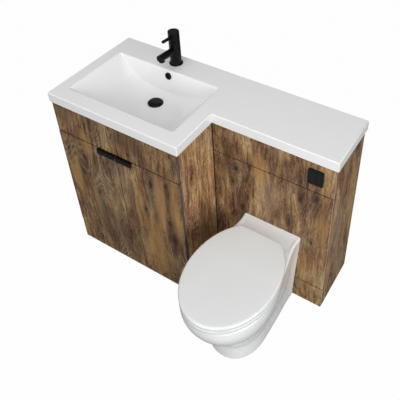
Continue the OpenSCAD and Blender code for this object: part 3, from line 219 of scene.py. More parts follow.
def add_bar(bm: bmesh.types.BMesh, radius: float, start: Point, end: Point,
            segments: int = 40, bevel: float = 0.0) -> None:
    """Adds a round bar between two points.

    Args:
        bm: The bmesh that gets the bar.
        radius: Radius in millimetres.
        start: Middle of one end, in millimetres.
        end: Middle of the other end, in millimetres.
        segments: Number of sides.
        bevel: Width of the rounding at both rims, in millimetres.
    """
    a, b = Vector(start) * MM, Vector(end) * MM
    turn = (b - a).to_track_quat("Z", "Y").to_matrix().to_4x4()
    made = bmesh.ops.create_cone(bm, cap_ends=True, cap_tris=False, segments=segments,
                                 radius1=radius * MM, radius2=radius * MM,
                                 depth=(b - a).length,
                                 matrix=Matrix.Translation((a + b) / 2) @ turn)["verts"]
    if bevel:
        rims = [e for e in edges_of(made)
                if len(e.link_faces) == 2 and e.calc_face_angle(0) > 1.0]
        bmesh.ops.bevel(bm, geom=rims, offset=bevel * MM, offset_type="OFFSET", segments=3,
                        profile=0.5, affect="EDGES", material=-1)


def into_object(bm: bmesh.types.BMesh, name: str) -> bpy.types.Object:
    """Turns a bmesh into an object at the origin, with its faces pointing outwards."""
    bmesh.ops.recalc_face_normals(bm, faces=bm.faces)
    mesh = bpy.data.meshes.new(name)
    bm.to_mesh(mesh)
    bm.free()
    obj = bpy.data.objects.new(name, mesh)
    bpy.context.scene.collection.objects.link(obj)
    return obj


def shade(obj: bpy.types.Object, angle: float) -> None:
    """Smooths a piece's shading and keeps the edges sharper than an angle in degrees."""
    obj.data.shade_smooth()
    obj.data.set_sharp_from_angle(angle=math.radians(angle))
    modifier = obj.modifiers.new("weighted_normals", "WEIGHTED_NORMAL")
    modifier.keep_sharp = True
    modifier.weight = 80


def carve(obj: bpy.types.Object, cutter: bpy.types.Object) -> None:
    """Cuts one closed mesh out of another and keeps the result in the first.

    The boolean adds an empty material slot, which is cleared before the piece gets its finish.

    Args:
        obj: The piece that is cut.
        cutter: The shape that is taken away, which is removed afterwards.
    """
    modifier = obj.modifiers.new("carve", "BOOLEAN")
    modifier.operation = "DIFFERENCE"
    modifier.solver = "MANIFOLD"
    modifier.object = cutter
    bpy.context.view_layer.update()
    graph = bpy.context.evaluated_depsgraph_get()
    result = bpy.data.meshes.new_from_object(obj.evaluated_get(graph))
    result.materials.clear()
    obj.modifiers.remove(modifier)
    old = obj.data
    obj.data = result
    result.name = obj.name
    bpy.data.meshes.remove(old)
    bpy.data.objects.remove(cutter)


def finish_piece(obj: bpy.types.Object, body: str, slot: str, *finishes: bpy.types.Material,
                 angle: float = 40.0, stands_for: Sequence[str] = ()) -> bpy.types.Object:
    """Gives a new piece its shading, its finishes and its body, and hides the CAD nodes that it
    stands for.

    Args:
        obj: The new piece.
        body: The CAD body that it moves with.
        slot: The record's material slot; not used.
        finishes: Materials by slot index.
        angle: Edges sharper than this, in degrees, stay sharp.
        stands_for: CAD nodes that it replaces.

    Returns:
        The same piece.
    """
    shade(obj, angle)
    for finish in finishes:
        obj.data.materials.append(finish)
    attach(obj, body)
    if stands_for:
        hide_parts(*stands_for)
    log.info("piece %s: %d faces on %s", obj.name, len(obj.data.polygons), body)
    return obj


def softened(node: str, body: str, slot: str, finish: bpy.types.Material, width: float = 0.6,
             segments: int = 2, longer_than: float = 0.0,
             bands: Sequence[tuple[Point, bpy.types.Material]] = (),
             shape: Optional[Callable[[Vector], Vector]] = None) -> bpy.types.Object:
    """Makes a piece from a CAD node with its sharp edges rounded.

    Args:
        node: The CAD node.
        body: The body that the piece rides on.
        slot: The record's material slot.
        finish: The piece's finish.
        width: Width of the rounding in millimetres.
        segments: Number of pieces in the rounding.
        longer_than: Only edges at least this long, in millimetres, are rounded.
        bands: Direction and finish of each side that has its own finish.
        shape: Moves each point before the edges are rounded.

    Returns:
        The new piece, which stands for the node.
    """
    bm = bmesh.new()
    bm.from_mesh(frame["nodes"][node].data)
    bmesh.ops.remove_doubles(bm, verts=bm.verts, dist=1e-6)
    if shape:
        for vert in bm.verts:
            vert.co = shape(vert.co / MM) * MM
    bmesh.ops.dissolve_limit(bm, angle_limit=math.radians(0.8), verts=bm.verts, edges=bm.edges,
                             use_dissolve_boundaries=False, delimit=set())
    edges = [e for e in bm.edges if len(e.link_faces) == 2
             and e.calc_face_angle(0) > math.radians(50) and e.calc_length() > longer_than * MM]
    bmesh.ops.bevel(bm, geom=edges, offset=width * MM, offset_type="OFFSET", segments=segments,
                    profile=0.5, affect="EDGES", clamp_overlap=True, material=-1)
    for index, (direction, _) in enumerate(bands, 1):
        for face in bm.faces:
            if face.normal.dot(Vector(direction)) > 0.9:
                face.material_index = index
    return finish_piece(into_object(bm, node + "_shown"), body, slot, finish,
                        *(band for _, band in bands), angle=35, stands_for=(node,))


# ---------- node work ----------

class Graph:
    """Adds shader nodes to a tree and joins them; a value may be a number or a socket."""

    def __init__(self, tree: bpy.types.NodeTree) -> None:
        """Keeps the tree that the nodes go into."""
        self.tree = tree

    def node(self, kind: str, **settings: object) -> bpy.types.Node:
        """Adds a node and sets its properties."""
        made = self.tree.nodes.new(kind)
        for name, value in settings.items():
            setattr(made, name, value)
        return made

    def put(self, socket: Socket, value: object) -> None:
        """Joins a socket to an output, or sets its own value."""
        if isinstance(value, bpy.types.NodeSocket):
            self.tree.links.new(value, socket)
        elif isinstance(value, tuple) and len(value) == 3 and socket.type == "RGBA":
            socket.default_value = (*value, 1.0)
        else:
            socket.default_value = value

    def math(self, operation: str, a: Value, b: Value = 0.0, clamp: bool = False) -> Socket:
        """Returns the result of a Math node."""
        made = self.node("ShaderNodeMath", operation=operation, use_clamp=clamp)
        for socket, value in zip(made.inputs, (a, b)):
            self.put(socket, value)
        return made.outputs[0]

    def plus(self, a: Value, b: Value, clamp: bool = False) -> Socket:
        """Returns a sum."""
        return self.math("ADD", a, b, clamp)

    def minus(self, a: Value, b: Value) -> Socket:
        """Returns a difference."""
        return self.math("SUBTRACT", a, b)

    def times(self, a: Value, b: Value, clamp: bool = False) -> Socket:
        """Returns a product."""
        return self.math("MULTIPLY", a, b, clamp)

    def over(self, a: Value, b: Value) -> Socket:
        """Returns a quotient."""
        return self.math("DIVIDE", a, b)

    def vector(self, operation: str, a: object, b: object) -> Socket:
        """Returns the result of a Vector Math node."""
        made = self.node("ShaderNodeVectorMath", operation=operation)
        self.put(made.inputs[0], a)
        self.put(made.inputs[1], b)
        return made.outputs["Value" if operation == "DOT_PRODUCT" else "Vector"]

    def part(self, vector: Socket, axis: str) -> Socket:
        """Returns one coordinate of a vector."""
        made = self.node("ShaderNodeSeparateXYZ")
        self.put(made.inputs[0], vector)
        return made.outputs[axis]

    def combined(self, *values: Value) -> Socket:
        """Returns a vector made of values for X, Y and Z."""
        made = self.node("ShaderNodeCombineXYZ")
        for socket, value in zip(made.inputs, values):
            self.put(socket, value)
        return made.outputs[0]

    def scaled(self, vector: Socket, amount: Value) -> Socket:
        """Returns a vector times a number."""
        made = self.node("ShaderNodeVectorMath", operation="SCALE")
        self.put(made.inputs[0], vector)
        self.put(made.inputs["Scale"], amount)
        return made.outputs["Vector"]

    def noise(self, vector: Socket, scale: Value, detail: float = 2.0,
              roughness: float = 0.5) -> Socket:
        """Returns the value of a Noise Texture."""
        made = self.node("ShaderNodeTexNoise")
        for name, value in (("Vector", vector), ("Scale", scale), ("Detail", detail),
                            ("Roughness", roughness)):
            self.put(made.inputs[name], value)
        return made.outputs["Fac"]

    def ramp(self, value: Value, low: Value, high: Value, out_low: Value = 0.0,
             out_high: Value = 1.0) -> Socket:
        """Returns a value mapped softly from one range to another."""
        made = self.node("ShaderNodeMapRange", interpolation_type="SMOOTHSTEP")
        for name, item in (("Value", value), ("From Min", low), ("From Max", high),
                           ("To Min", out_low), ("To Max", out_high)):
            self.put(made.inputs[name], item)
        return made.outputs["Result"]

    def mix(self, factor: Value, a: object, b: object, blend: str = "MIX") -> Socket:
        """Returns a mix of two colours."""
        made = self.node("ShaderNodeMix", data_type="RGBA", blend_type=blend)
        self.put(made.inputs[0], factor)
        self.put(made.inputs[6], a)
        self.put(made.inputs[7], b)
        return made.outputs[2]

    def place(self) -> Socket:
        """Returns the object coordinates."""
        return self.node("ShaderNodeTexCoord").outputs["Object"]

    def group(self, tree: bpy.types.NodeTree, **values: object) -> bpy.types.Node:
        """Adds a node group and sets its named inputs, with _ for a space."""
        made = self.node("ShaderNodeGroup", node_tree=tree)
        for name, value in values.items():
            self.put(made.inputs[name.replace("_", " ")], value)
        return made

    def bump(self, height: Socket, distance: float) -> Socket:
        """Returns the normal of a Bump node."""
        made = self.node("ShaderNodeBump")
        made.inputs["Distance"].default_value = distance
        self.put(made.inputs["Height"], height)
        return made.outputs["Normal"]

    def seen(self) -> Socket:
        """Returns 1 for what the camera sees directly or through glass."""
        path = self.node("ShaderNodeLightPath")
        return self.plus(path.outputs["Is Camera Ray"], path.outputs["Is Transmission Ray"],
                         clamp=True)

    def shader_mix(self, factor: Value, first: Socket, second: Socket) -> Socket:
        """Returns a mix of two shaders."""
        made = self.node("ShaderNodeMixShader")
        for socket, value in zip(made.inputs, (factor, first, second)):
            self.put(socket, value)
        return made.outputs[0]


def new_group(name: str, inputs: Sequence[tuple[str, str, object]],
              outputs: Sequence[tuple[str, str]]) -> tuple[Graph, bpy.types.Node, bpy.types.Node]:
    """Makes an empty node group.

    Args:
        name: The group's name.
        inputs: Name, socket type and default of each input.
        outputs: Name and socket type of each output.

    Returns:
        The graph in the group, its input node and its output node.
    """
    tree = bpy.data.node_groups.new(name, "ShaderNodeTree")
    for title, kind, default in inputs:
        socket = tree.interface.new_socket(name=title, in_out="INPUT", socket_type=kind)
        if default is not None:
            socket.default_value = default
    for title, kind in outputs:
        tree.interface.new_socket(name=title, in_out="OUTPUT", socket_type=kind)
    graph = Graph(tree)
    return graph, graph.node("NodeGroupInput"), graph.node("NodeGroupOutput")


VECTOR, FLOAT, COLOUR = "NodeSocketVector", "NodeSocketFloat", "NodeSocketColor"


def make_speckle_group() -> bpy.types.NodeTree:
    """Makes the fine unevenness that every moulded or glazed surface shares."""
    g, inside, outside = new_group(
        "fine_unevenness",
        [("Vector", VECTOR, None), ("Coarse", FLOAT, 6.0), ("Fine", FLOAT, 900.0),
         ("Amount", FLOAT, 0.02)],
        [("Tint", FLOAT), ("Gloss", FLOAT), ("Height", FLOAT)])
    v = inside.outputs
    coarse, fine = g.noise(v["Vector"], v["Coarse"], 2.0), g.noise(v["Vector"], v["Fine"], 1.0)
    change = g.times(g.minus(coarse, 0.5), v["Amount"])
    g.put(outside.inputs["Tint"], g.plus(1.0, change))
    g.put(outside.inputs["Gloss"], change)
    g.put(outside.inputs["Height"], g.plus(g.times(coarse, 0.7), g.times(fine, 0.3)))
    return g.tree


def make_knot_group() -> bpy.types.NodeTree:
    """Makes a knot: it bends the grain round itself and darkens its own place."""
    g, inside, outside = new_group(
        "oak_knot",
        [("Vector", VECTOR, None), ("Shape", VECTOR, None), ("Centre", VECTOR, None),
         ("Across", VECTOR, (1.0, 0.0, 0.0)), ("Radius", FLOAT, 0.015),
         ("Length", FLOAT, 1.6), ("Depth", FLOAT, 1.0), ("Mask In", FLOAT, 0.0),
         ("Shade In", FLOAT, 0.0)],
        [("Vector", VECTOR), ("Mask", FLOAT), ("Shade", FLOAT)])
    v = inside.outputs
    away = g.vector("SUBTRACT", v["Shape"], v["Centre"])
    across = g.vector("DOT_PRODUCT", away, v["Across"])
    high = g.part(away, "Z")

    def distance(length: Value, radius: Value) -> Socket:
        """Returns the distance from the knot's middle, in radii, of an oval drawn out by length."""
        along = g.over(high, length)
        squares = g.plus(g.times(across, across), g.times(along, along))
        return g.over(g.math("SQRT", squares), radius)

    def fading(d: Socket, speed: float) -> Socket:
        """Returns a soft bell that falls from 1 with a distance."""
        return g.math("EXPONENT", g.times(g.times(d, d), -speed))

    d = distance(v["Length"], v["Radius"])
    near = fading(d, 0.16)
    pull = g.times(g.times(across, near), g.times(v["Depth"], -0.7))
    g.put(outside.inputs["Vector"], g.vector("ADD", v["Vector"], g.scaled(v["Across"], pull)))
    core = g.times(g.ramp(d, 1.1, 0.3), g.times(v["Depth"], 0.92), clamp=True)
    g.put(outside.inputs["Mask"], g.math("MAXIMUM", v["Mask In"], core))
    tail = distance(g.times(v["Length"], 3.2), g.times(v["Radius"], 1.5))
    halo = g.times(fading(tail, 1.0), v["Depth"])
    ring = g.ramp(g.math("SINE", g.times(d, 6.5)), 0.1, 0.9)
    ringed = g.times(g.times(ring, near), g.times(v["Depth"], 0.6))
    g.put(outside.inputs["Shade"], g.plus(v["Shade In"], g.plus(g.times(halo, 0.7), ringed)))
    return g.tree


def make_grain_group() -> bpy.types.NodeTree:
    """Makes rustic oak grain along Z: clouds, streaks, arched figures, cracks and pores."""
    g, inside, outside = new_group(
        "oak_grain",
        [("Vector", VECTOR, None), ("Contrast", FLOAT, 1.0), ("Figure", FLOAT, 1.0)],
        [("Color", COLOUR), ("Height", FLOAT), ("Streak", FLOAT)])
    v = inside.outputs

    def stretched(vector: Socket, across: float, along: float) -> Socket:
        """Returns coordinates drawn out along the grain."""
        return g.vector("MULTIPLY", vector, (across, across, along))

    bend = g.times(g.minus(g.noise(stretched(v["Vector"], 5.0, 3.0), 1.0, 2.0), 0.5), 0.05)
    bent = g.vector("ADD", v["Vector"], g.combined(bend, bend))
    cloud, streak, vein, fibre, fleck = (
        g.noise(stretched(bent, across, along), 1.0, detail, roughness)
        for across, along, detail, roughness in (
            (13.0, 4.2, 5.0, 0.6), (52.0, 6.0, 4.0, 0.6), (125.0, 11.0, 3.0, 0.6),
            (260.0, 30.0, 3.0, 0.65), (300.0, 60.0, 2.0, 0.6)))
    tone = g.plus(g.plus(g.times(cloud, 0.34), g.times(streak, 0.26)),
                  g.plus(g.times(vein, 0.24), g.times(fibre, 0.16)))
    spread = g.plus(0.5, g.times(g.minus(tone, 0.5), g.times(v["Contrast"], 5.2)), clamp=True)
    scale = g.node("ShaderNodeValToRGB")
    stops = ((0.0, srgb(52, 33, 27)), (0.2, srgb(86, 57, 42)), (0.42, srgb(112, 81, 55)),
             (0.62, srgb(134, 104, 69)), (0.82, srgb(155, 127, 86)), (1.0, srgb(174, 149, 109)))
    elements = scale.color_ramp.elements
    while len(elements) < len(stops):
        elements.new(0.5)
    for element, (place, colour) in zip(elements, stops):
        element.position, element.color = place, (*colour, 1.0)
    g.put(scale.inputs["Fac"], spread)
    grey = g.ramp(g.noise(stretched(bent, 8.0, 3.0), 1.0, 3.0, 0.6), 0.50, 0.66, 0.0, 0.45)
    weathered = g.mix(g.times(grey, g.ramp(spread, 0.3, 0.6)), scale.outputs["Color"],
                      srgb(138, 120, 98))
    rings = g.noise(stretched(bent, 6.0, 1.9), 1.0, 1.0, 0.4)
    wave = g.math("SINE", g.times(rings, 230.0))
    where = g.times(v["Figure"],
                    g.ramp(g.noise(stretched(v["Vector"], 7.0, 2.8), 1.0, 1.0), 0.57, 0.68))
    lines = g.times(g.ramp(wave, 0.3, 0.9), g.times(where, 0.55))
    lined = g.mix(lines, weathered, srgb(62, 43, 33))
    pale = g.times(g.ramp(wave, -0.5, -0.95), g.times(where, 0.45))
    paled = g.mix(pale, lined, srgb(168, 148, 120))
    cracks = g.times(g.ramp(fleck, 0.56, 0.66), 0.75)
    cracked = g.mix(cracks, paled, srgb(50, 35, 28))
    glints = g.times(g.ramp(fleck, 0.43, 0.32), 0.4)
    g.put(outside.inputs["Color"], g.mix(glints, cracked, srgb(176, 148, 108)))
    g.put(outside.inputs["Height"],
          g.minus(g.times(fibre, 0.6), g.plus(cracks, g.times(lines, 0.5))))
    g.put(outside.inputs["Streak"], streak)
    return g.tree


def make_patch_group() -> bpy.types.NodeTree:
    """Makes one long soft place of another tone in the grain."""
    g, inside, outside = new_group(
        "tone_patch",
        [("Color", COLOUR, (1, 1, 1, 1)), ("Vector", VECTOR, None), ("Centre", VECTOR, None),
         ("Across", VECTOR, (1.0, 0.0, 0.0)), ("Width", FLOAT, 0.05), ("Length", FLOAT, 0.2),
         ("Streak", FLOAT, 0.5), ("Tone", COLOUR, (0.2, 0.1, 0.05, 1)),
         ("Amount", FLOAT, 0.5)],
        [("Color", COLOUR)])
    v = inside.outputs
    away = g.vector("SUBTRACT", v["Vector"], v["Centre"])
    across = g.over(g.vector("DOT_PRODUCT", away, v["Across"]), v["Width"])
    along = g.over(g.part(away, "Z"), v["Length"])
    far = g.plus(g.times(across, across), g.times(along, along))
    soft = g.math("EXPONENT", g.times(far, -1.0))
    broken = g.ramp(g.plus(soft, g.minus(v["Streak"], 0.5)), 0.15, 0.85)
    g.put(outside.inputs["Color"], g.mix(g.times(broken, v["Amount"], clamp=True),
                                         v["Color"], v["Tone"]))
    return g.tree


class Groups:
    """The node groups that the finishes share, each made once."""

    speckle: bpy.types.NodeTree
    knot: bpy.types.NodeTree
    grain: bpy.types.NodeTree
    patch: bpy.types.NodeTree

    @classmethod
    def make(cls) -> None:
        """Makes every shared group."""
        cls.speckle = make_speckle_group()
        cls.knot = make_knot_group()
        cls.grain = make_grain_group()
        cls.patch = make_patch_group()


def new_material(name: str) -> tuple[bpy.types.Material, Graph, bpy.types.Node]:
    """Makes a material and returns it with its graph and its Principled shader."""
    material = bpy.data.materials.new(name)
    material.use_nodes = True
    graph = Graph(material.node_tree)
    return material, graph, material.node_tree.nodes["Principled BSDF"]


# ---------- finishes ----------

@dataclass(frozen=True)
class Moulded:
    """A plain finish of one colour: glaze, cast resin, plastic, paint, rubber or steel."""

    name: str
    colour: Colour
    roughness: float
    metal: float = 0.0
    coat: float = 0.0
    coat_roughness: float = 0.08
    variation: float = 0.03
    coarse: float = 7.0
    fine: float = 900.0
    bump: float = 0.00002
    specular: float = 0.5

    def material(self) -> bpy.types.Material:
        """Returns the finish as a material."""
        material, g, shader = new_material(self.name)
        uneven = g.group(Groups.speckle, Vector=g.place(), Coarse=self.coarse, Fine=self.fine,
                         Amount=self.variation)
        colour = g.mix(1.0, self.colour, uneven.outputs["Tint"], "MULTIPLY")
        roughness = g.plus(uneven.outputs["Gloss"], self.roughness, clamp=True)
        for name, value in (("Base Color", colour), ("Roughness", roughness),
                            ("Normal", g.bump(uneven.outputs["Height"], self.bump)),
                            ("Metallic", self.metal), ("Specular IOR Level", self.specular),
                            ("Coat Weight", self.coat), ("Coat Roughness", self.coat_roughness)):
            g.put(shader.inputs[name], value)
        return material


class Face(Enum):
    """The way a board looks, with the direction across its grain."""

    FRONT = (1.0, 0.0, 0.0)
    SIDE = (0.0, 1.0, 0.0)


class Tone(Enum):
    """Colours of the oak print, as seen."""

    GOLD = srgb(166, 127, 74)
    GREY = srgb(136, 116, 94)
    KNOT = srgb(40, 29, 25)
    SHADOW = srgb(66, 45, 32)


@dataclass(frozen=True)
class Knot:
    """A knot: place across and up the board, radius in millimetres, length and depth."""

    across: float
    up: float
    radius: float
    length: float = 1.5
    depth: float = 1.0


@dataclass(frozen=True)
class Patch:
    """A long soft place of another tone, in millimetres."""

    across: float
    up: float
    width: float
    length: float
    tone: Tone
    amount: float = 0.6


@dataclass(frozen=True)
class Oak:
    """Rustic oak print with its knots and toned places."""

    name: str
    face: Face
    knots: tuple[Knot, ...] = ()
    patches: tuple[Patch, ...] = ()
    shift: Point = (0.0, 0.0, 0.0)
    # light scales the print's brightness; on the corner side panel its high value is painted light
    # against the shade there.
    light: float = 1.0
    contrast: float = 1.0
    figure: float = 1.0
    # Brightens the print towards the floor: painted light against the shade low down.
    bottom_painted_light: float = 0.0

    def at(self, across: float, up: float) -> Point:
        """Returns a place on the board as coordinates in metres."""
        x, y, _ = self.face.value
        return across * x * MM, across * y * MM, up * MM

    def material(self) -> bpy.types.Material:
        """Returns the finish as a material."""
        material, g, shader = new_material(self.name)
        place = g.place()
        ragged = g.noise(g.vector("MULTIPLY", place, (70.0, 70.0, 24.0)), 1.0, 3.0)
        wobble = g.times(g.minus(ragged, 0.5), 0.016)
        shape = g.vector("ADD", place, g.combined(wobble, wobble, wobble))
        flow: Socket = place
        mask: Value = 0.0
        shadow: Value = 0.0
        for knot in self.knots:
            made = g.group(Groups.knot, Vector=flow, Shape=shape,
                           Centre=self.at(knot.across, knot.up), Across=self.face.value,
                           Radius=knot.radius * MM, Length=knot.length, Depth=knot.depth,
                           Mask_In=mask, Shade_In=shadow)
            flow, mask, shadow = (made.outputs[n] for n in ("Vector", "Mask", "Shade"))
        grain = g.group(Groups.grain, Vector=g.vector("ADD", flow, self.shift),
                        Contrast=self.contrast, Figure=self.figure)
        colour = grain.outputs["Color"]
        for patch in self.patches:
            made = g.group(Groups.patch, Color=colour, Vector=shape,
                           Centre=self.at(patch.across, patch.up), Across=self.face.value,
                           Width=patch.width * MM, Length=patch.length * MM,
                           Streak=grain.outputs["Streak"], Tone=(*patch.tone.value, 1.0),
                           Amount=patch.amount)
            colour = made.outputs["Color"]
        if self.knots:
            shaded = g.times(shadow, 0.62, clamp=True)
            colour = g.mix(shaded, colour, Tone.SHADOW.value)
            colour = g.mix(mask, colour, Tone.KNOT.value)
        # Painted light: the print grows brighter towards the floor, against the shade low down, and
        # light scales it as a whole.
        light = g.ramp(g.part(place, "Z"), 0.0, 0.6, self.light + self.bottom_painted_light, self.light)
        colour = g.mix(1.0, colour, light, "MULTIPLY")
        g.put(shader.inputs["Base Color"], colour)
        g.put(shader.inputs["Roughness"], g.ramp(grain.outputs["Streak"], 0.3, 0.7, 0.62, 0.5))
        shader.inputs["Specular IOR Level"].default_value = 0.35
        g.put(shader.inputs["Normal"], g.bump(grain.outputs["Height"], 0.00012))
        return material


@dataclass(frozen=True)
class BoardEnd:
    """A board's end: a thin band behind its front face, then grain. The band is painted light: a
    pale painted highlight on the toilet fronts' ends and dark painted shade on the basin fronts'
    ends.
    """

    name: str
    band: Colour
    front: float
    width: float
    light: float = 1.0

    def material(self) -> bpy.types.Material:
        """Returns the finish as a material."""
        material, g, shader = new_material(self.name)
        place = g.place()
        grain = g.group(Groups.grain, Vector=place, Contrast=0.8, Figure=0.0)
        wood = g.mix(1.0, grain.outputs["Color"], (self.light,) * 3, "MULTIPLY")
        back = (self.front + self.width) * MM
        mask = g.ramp(g.part(place, "Y"), back - 0.0015, back + 0.0015)
        # Noise lets the grain show through the painted band in patches.
        painted_band_breakup = g.times(g.noise(place, 45.0, 3.0), 0.2)
        g.put(shader.inputs["Base Color"], g.mix(g.plus(mask, painted_band_breakup, clamp=True), self.band, wood))
        g.put(shader.inputs["Roughness"], g.ramp(grain.outputs["Streak"], 0.3, 0.7, 0.6, 0.5))
        shader.inputs["Specular IOR Level"].default_value = 0.35
        g.put(shader.inputs["Normal"], g.bump(grain.outputs["Height"], 0.0001))
        return material


BASIN_KNOTS = (
    Knot(-471, 549, 13, 2.3, 1.0), Knot(-498, 451, 12, 2.0, 1.0), Knot(-429, 369, 10, 2.2, 0.9),
    Knot(-135, 570, 12, 2.6, 1.0), Knot(-64, 595, 10, 1.8, 0.9), Knot(-181, 411, 11, 1.8, 1.0),
    Knot(-66, 391, 11, 2.4, 0.9), Knot(-50, 302, 13, 2.0, 1.0), Knot(-553, 555, 9, 2.0, 0.8),
    Knot(-35, 754, 9, 1.6, 0.8), Knot(-82, 770, 8, 1.6, 0.7), Knot(-330, 250, 10, 2.0, 0.6),
)
BASIN_PATCHES = (
    Patch(-284, 491, 60, 120, Tone.GREY, 0.35), Patch(-110, 500, 60, 140, Tone.GREY, 0.3),
    Patch(-447, 622, 35, 60, Tone.GOLD, 0.6), Patch(-537, 424, 30, 130, Tone.GOLD, 0.55),
    Patch(-98, 481, 30, 170, Tone.GOLD, 0.6), Patch(-150, 200, 60, 200, Tone.GOLD, 0.6),
    Patch(-553, 740, 60, 60, Tone.SHADOW, 0.55), Patch(-221, 735, 90, 60, Tone.SHADOW, 0.55),
    Patch(-288, 149, 60, 130, Tone.SHADOW, 0.5), Patch(-75, 62, 60, 90, Tone.SHADOW, 0.4),
    Patch(-30, 450, 25, 220, Tone.GOLD, 0.5), Patch(-210, 420, 25, 120, Tone.GOLD, 0.4),
    Patch(-400, 200, 60, 160, Tone.SHADOW, 0.4),
)
TOILET_KNOTS = (
    Knot(103, 593, 13, 1.6, 1.0), Knot(161, 628, 10, 1.8, 1.0), Knot(83, 515, 10, 2.0, 0.9),
    Knot(129, 398, 11, 2.2, 0.9), Knot(376, 576, 11, 2.0, 1.0), Knot(435, 603, 10, 1.8, 0.9),
    Knot(367, 658, 8, 1.8, 0.8), Knot(332, 431, 12, 2.4, 0.9), Knot(432, 368, 10, 2.0, 0.9),
)
TOILET_PATCHES = (
    Patch(245, 528, 60, 130, Tone.GREY, 0.3), Patch(60, 650, 30, 110, Tone.SHADOW, 0.5),
    Patch(300, 690, 80, 60, Tone.SHADOW, 0.4), Patch(420, 200, 60, 160, Tone.GOLD, 0.35),
    Patch(200, 640, 35, 90, Tone.GOLD, 0.5), Patch(470, 480, 30, 200, Tone.GOLD, 0.35),
)
SIDE_KNOTS = (
    Knot(-120, 560, 12, 2.0, 1.0), Knot(-340, 420, 11, 2.4, 0.9), Knot(-60, 240, 12, 1.8, 1.0),
    Knot(-200, 330, 9, 2.0, 0.8), Knot(-390, 610, 10, 1.6, 0.9), Knot(-170, 120, 11, 2.0, 0.9),
)
SIDE_PATCHES = (
    Patch(-150, 400, 50, 200, Tone.GREY, 0.35), Patch(-60, 500, 30, 200, Tone.GOLD, 0.45),
    Patch(-330, 200, 50, 200, Tone.SHADOW, 0.5),
)


@dataclass
class Palette:
    """Every finish as a material."""

    basin_oak: bpy.types.Material = field(init=False)
    toilet_oak: bpy.types.Material = field(init=False)
    side_oak: bpy.types.Material = field(init=False)
    corner_oak_painted_light: bpy.types.Material = field(init=False)
    inside_oak: bpy.types.Material = field(init=False)
    basin_end_painted_shade: bpy.types.Material = field(init=False)
    toilet_end_painted_highlight: bpy.types.Material = field(init=False)
    seam: bpy.types.Material = field(init=False)
    resin: bpy.types.Material = field(init=False)
    ceramic: bpy.types.Material = field(init=False)
    seat: bpy.types.Material = field(init=False)
    black: bpy.types.Material = field(init=False)
    black_plastic: bpy.types.Material = field(init=False)
    steel: bpy.types.Material = field(init=False)
    rubber: bpy.types.Material = field(init=False)
    white_plastic: bpy.types.Material = field(init=False)
    blue_plastic: bpy.types.Material = field(init=False)
    red_plastic: bpy.types.Material = field(init=False)

    def __post_init__(self) -> None:
        """Makes the materials."""
        self.basin_oak = Oak("oak_basin_front", Face.FRONT, BASIN_KNOTS, BASIN_PATCHES,
                             light=1.03).material()
        # The toilet fronts' print grows lighter towards the floor: painted light against the shade
        # there.
        self.toilet_oak = Oak("oak_toilet_front", Face.FRONT, TOILET_KNOTS, TOILET_PATCHES,
                              (0.37, 0.0, 0.21), 1.17, bottom_painted_light=0.12).material()
        self.side_oak = Oak("oak_side", Face.SIDE, SIDE_KNOTS, SIDE_PATCHES,
                            (0.0, 0.63, 0.4), 1.12).material()
        # The corner side panel has the side panel's print made much lighter, more so towards the
        # floor: painted light against the shade in the corner by the pan.
        self.corner_oak_painted_light = Oak("oak_corner_side_painted_light", Face.SIDE, SIDE_KNOTS, SIDE_PATCHES,
                              (0.0, 0.21, 0.9), 1.75, bottom_painted_light=0.6).material()
        self.inside_oak = Oak("oak_inside", Face.FRONT, (), (), (1.3, 0.8, 0.9)).material()
        # Board ends: the basin's dark band is painted shade and the toilet's pale band is a painted
        # highlight.
        self.basin_end_painted_shade = BoardEnd("basin_board_end_painted_shade", srgb(72, 66, 72), -461.5, 13.0, 1.4).material()
        self.toilet_end_painted_highlight = BoardEnd("toilet_board_end_painted_highlight", srgb(186, 172, 160), -247.0, 4.5,
                                   1.12).material()
        # Near-black finish: painted shade on the board edges that face the gaps and on the corner
        # strip; the pan's screws take it as their own dark colour.
        self.seam = Moulded("dark_gap_shade_and_screws", srgb(34, 26, 21), 0.7, variation=0.2,
                            coarse=60.0).material()
        self.resin = Moulded("cast_resin", (0.81, 0.815, 0.81), 0.22, coat=0.35,
                             coat_roughness=0.06, variation=0.02, bump=0.00002,
                             fine=60.0).material()
        self.ceramic = Moulded("glazed_ceramic", (0.84, 0.85, 0.85), 0.16, coat=0.3,
                               coat_roughness=0.05, variation=0.02, bump=0.00002,
                               coarse=5.0, fine=40.0).material()
        self.seat = Moulded("moulded_seat", (0.735, 0.75, 0.745), 0.16, coat=0.3,
                            variation=0.02, bump=0.00002, fine=60.0).material()
        self.black = Moulded("matt_black_metal", srgb(5, 5, 6), 0.22, specular=0.2, variation=0.10,
                             fine=2600.0, bump=0.00003).material()
        self.black_plastic = Moulded("matt_black_plastic", srgb(12, 17, 12), 0.34, specular=0.15,
                                     variation=0.08, fine=2200.0, bump=0.00003).material()
        self.steel = Moulded("plain_steel", (0.56, 0.57, 0.58), 0.30, metal=1.0,
                             variation=0.10, fine=1500.0).material()
        self.rubber = Moulded("black_rubber", srgb(30, 30, 31), 0.75, variation=0.1).material()
        self.white_plastic = Moulded("white_plastic", (0.78, 0.78, 0.77), 0.40,
                                     variation=0.03).material()
        self.blue_plastic = Moulded("blue_plastic", srgb(52, 104, 150), 0.42).material()
        self.red_plastic = Moulded("red_plastic", srgb(168, 52, 44), 0.42).material()


# ---------- worktop ----------

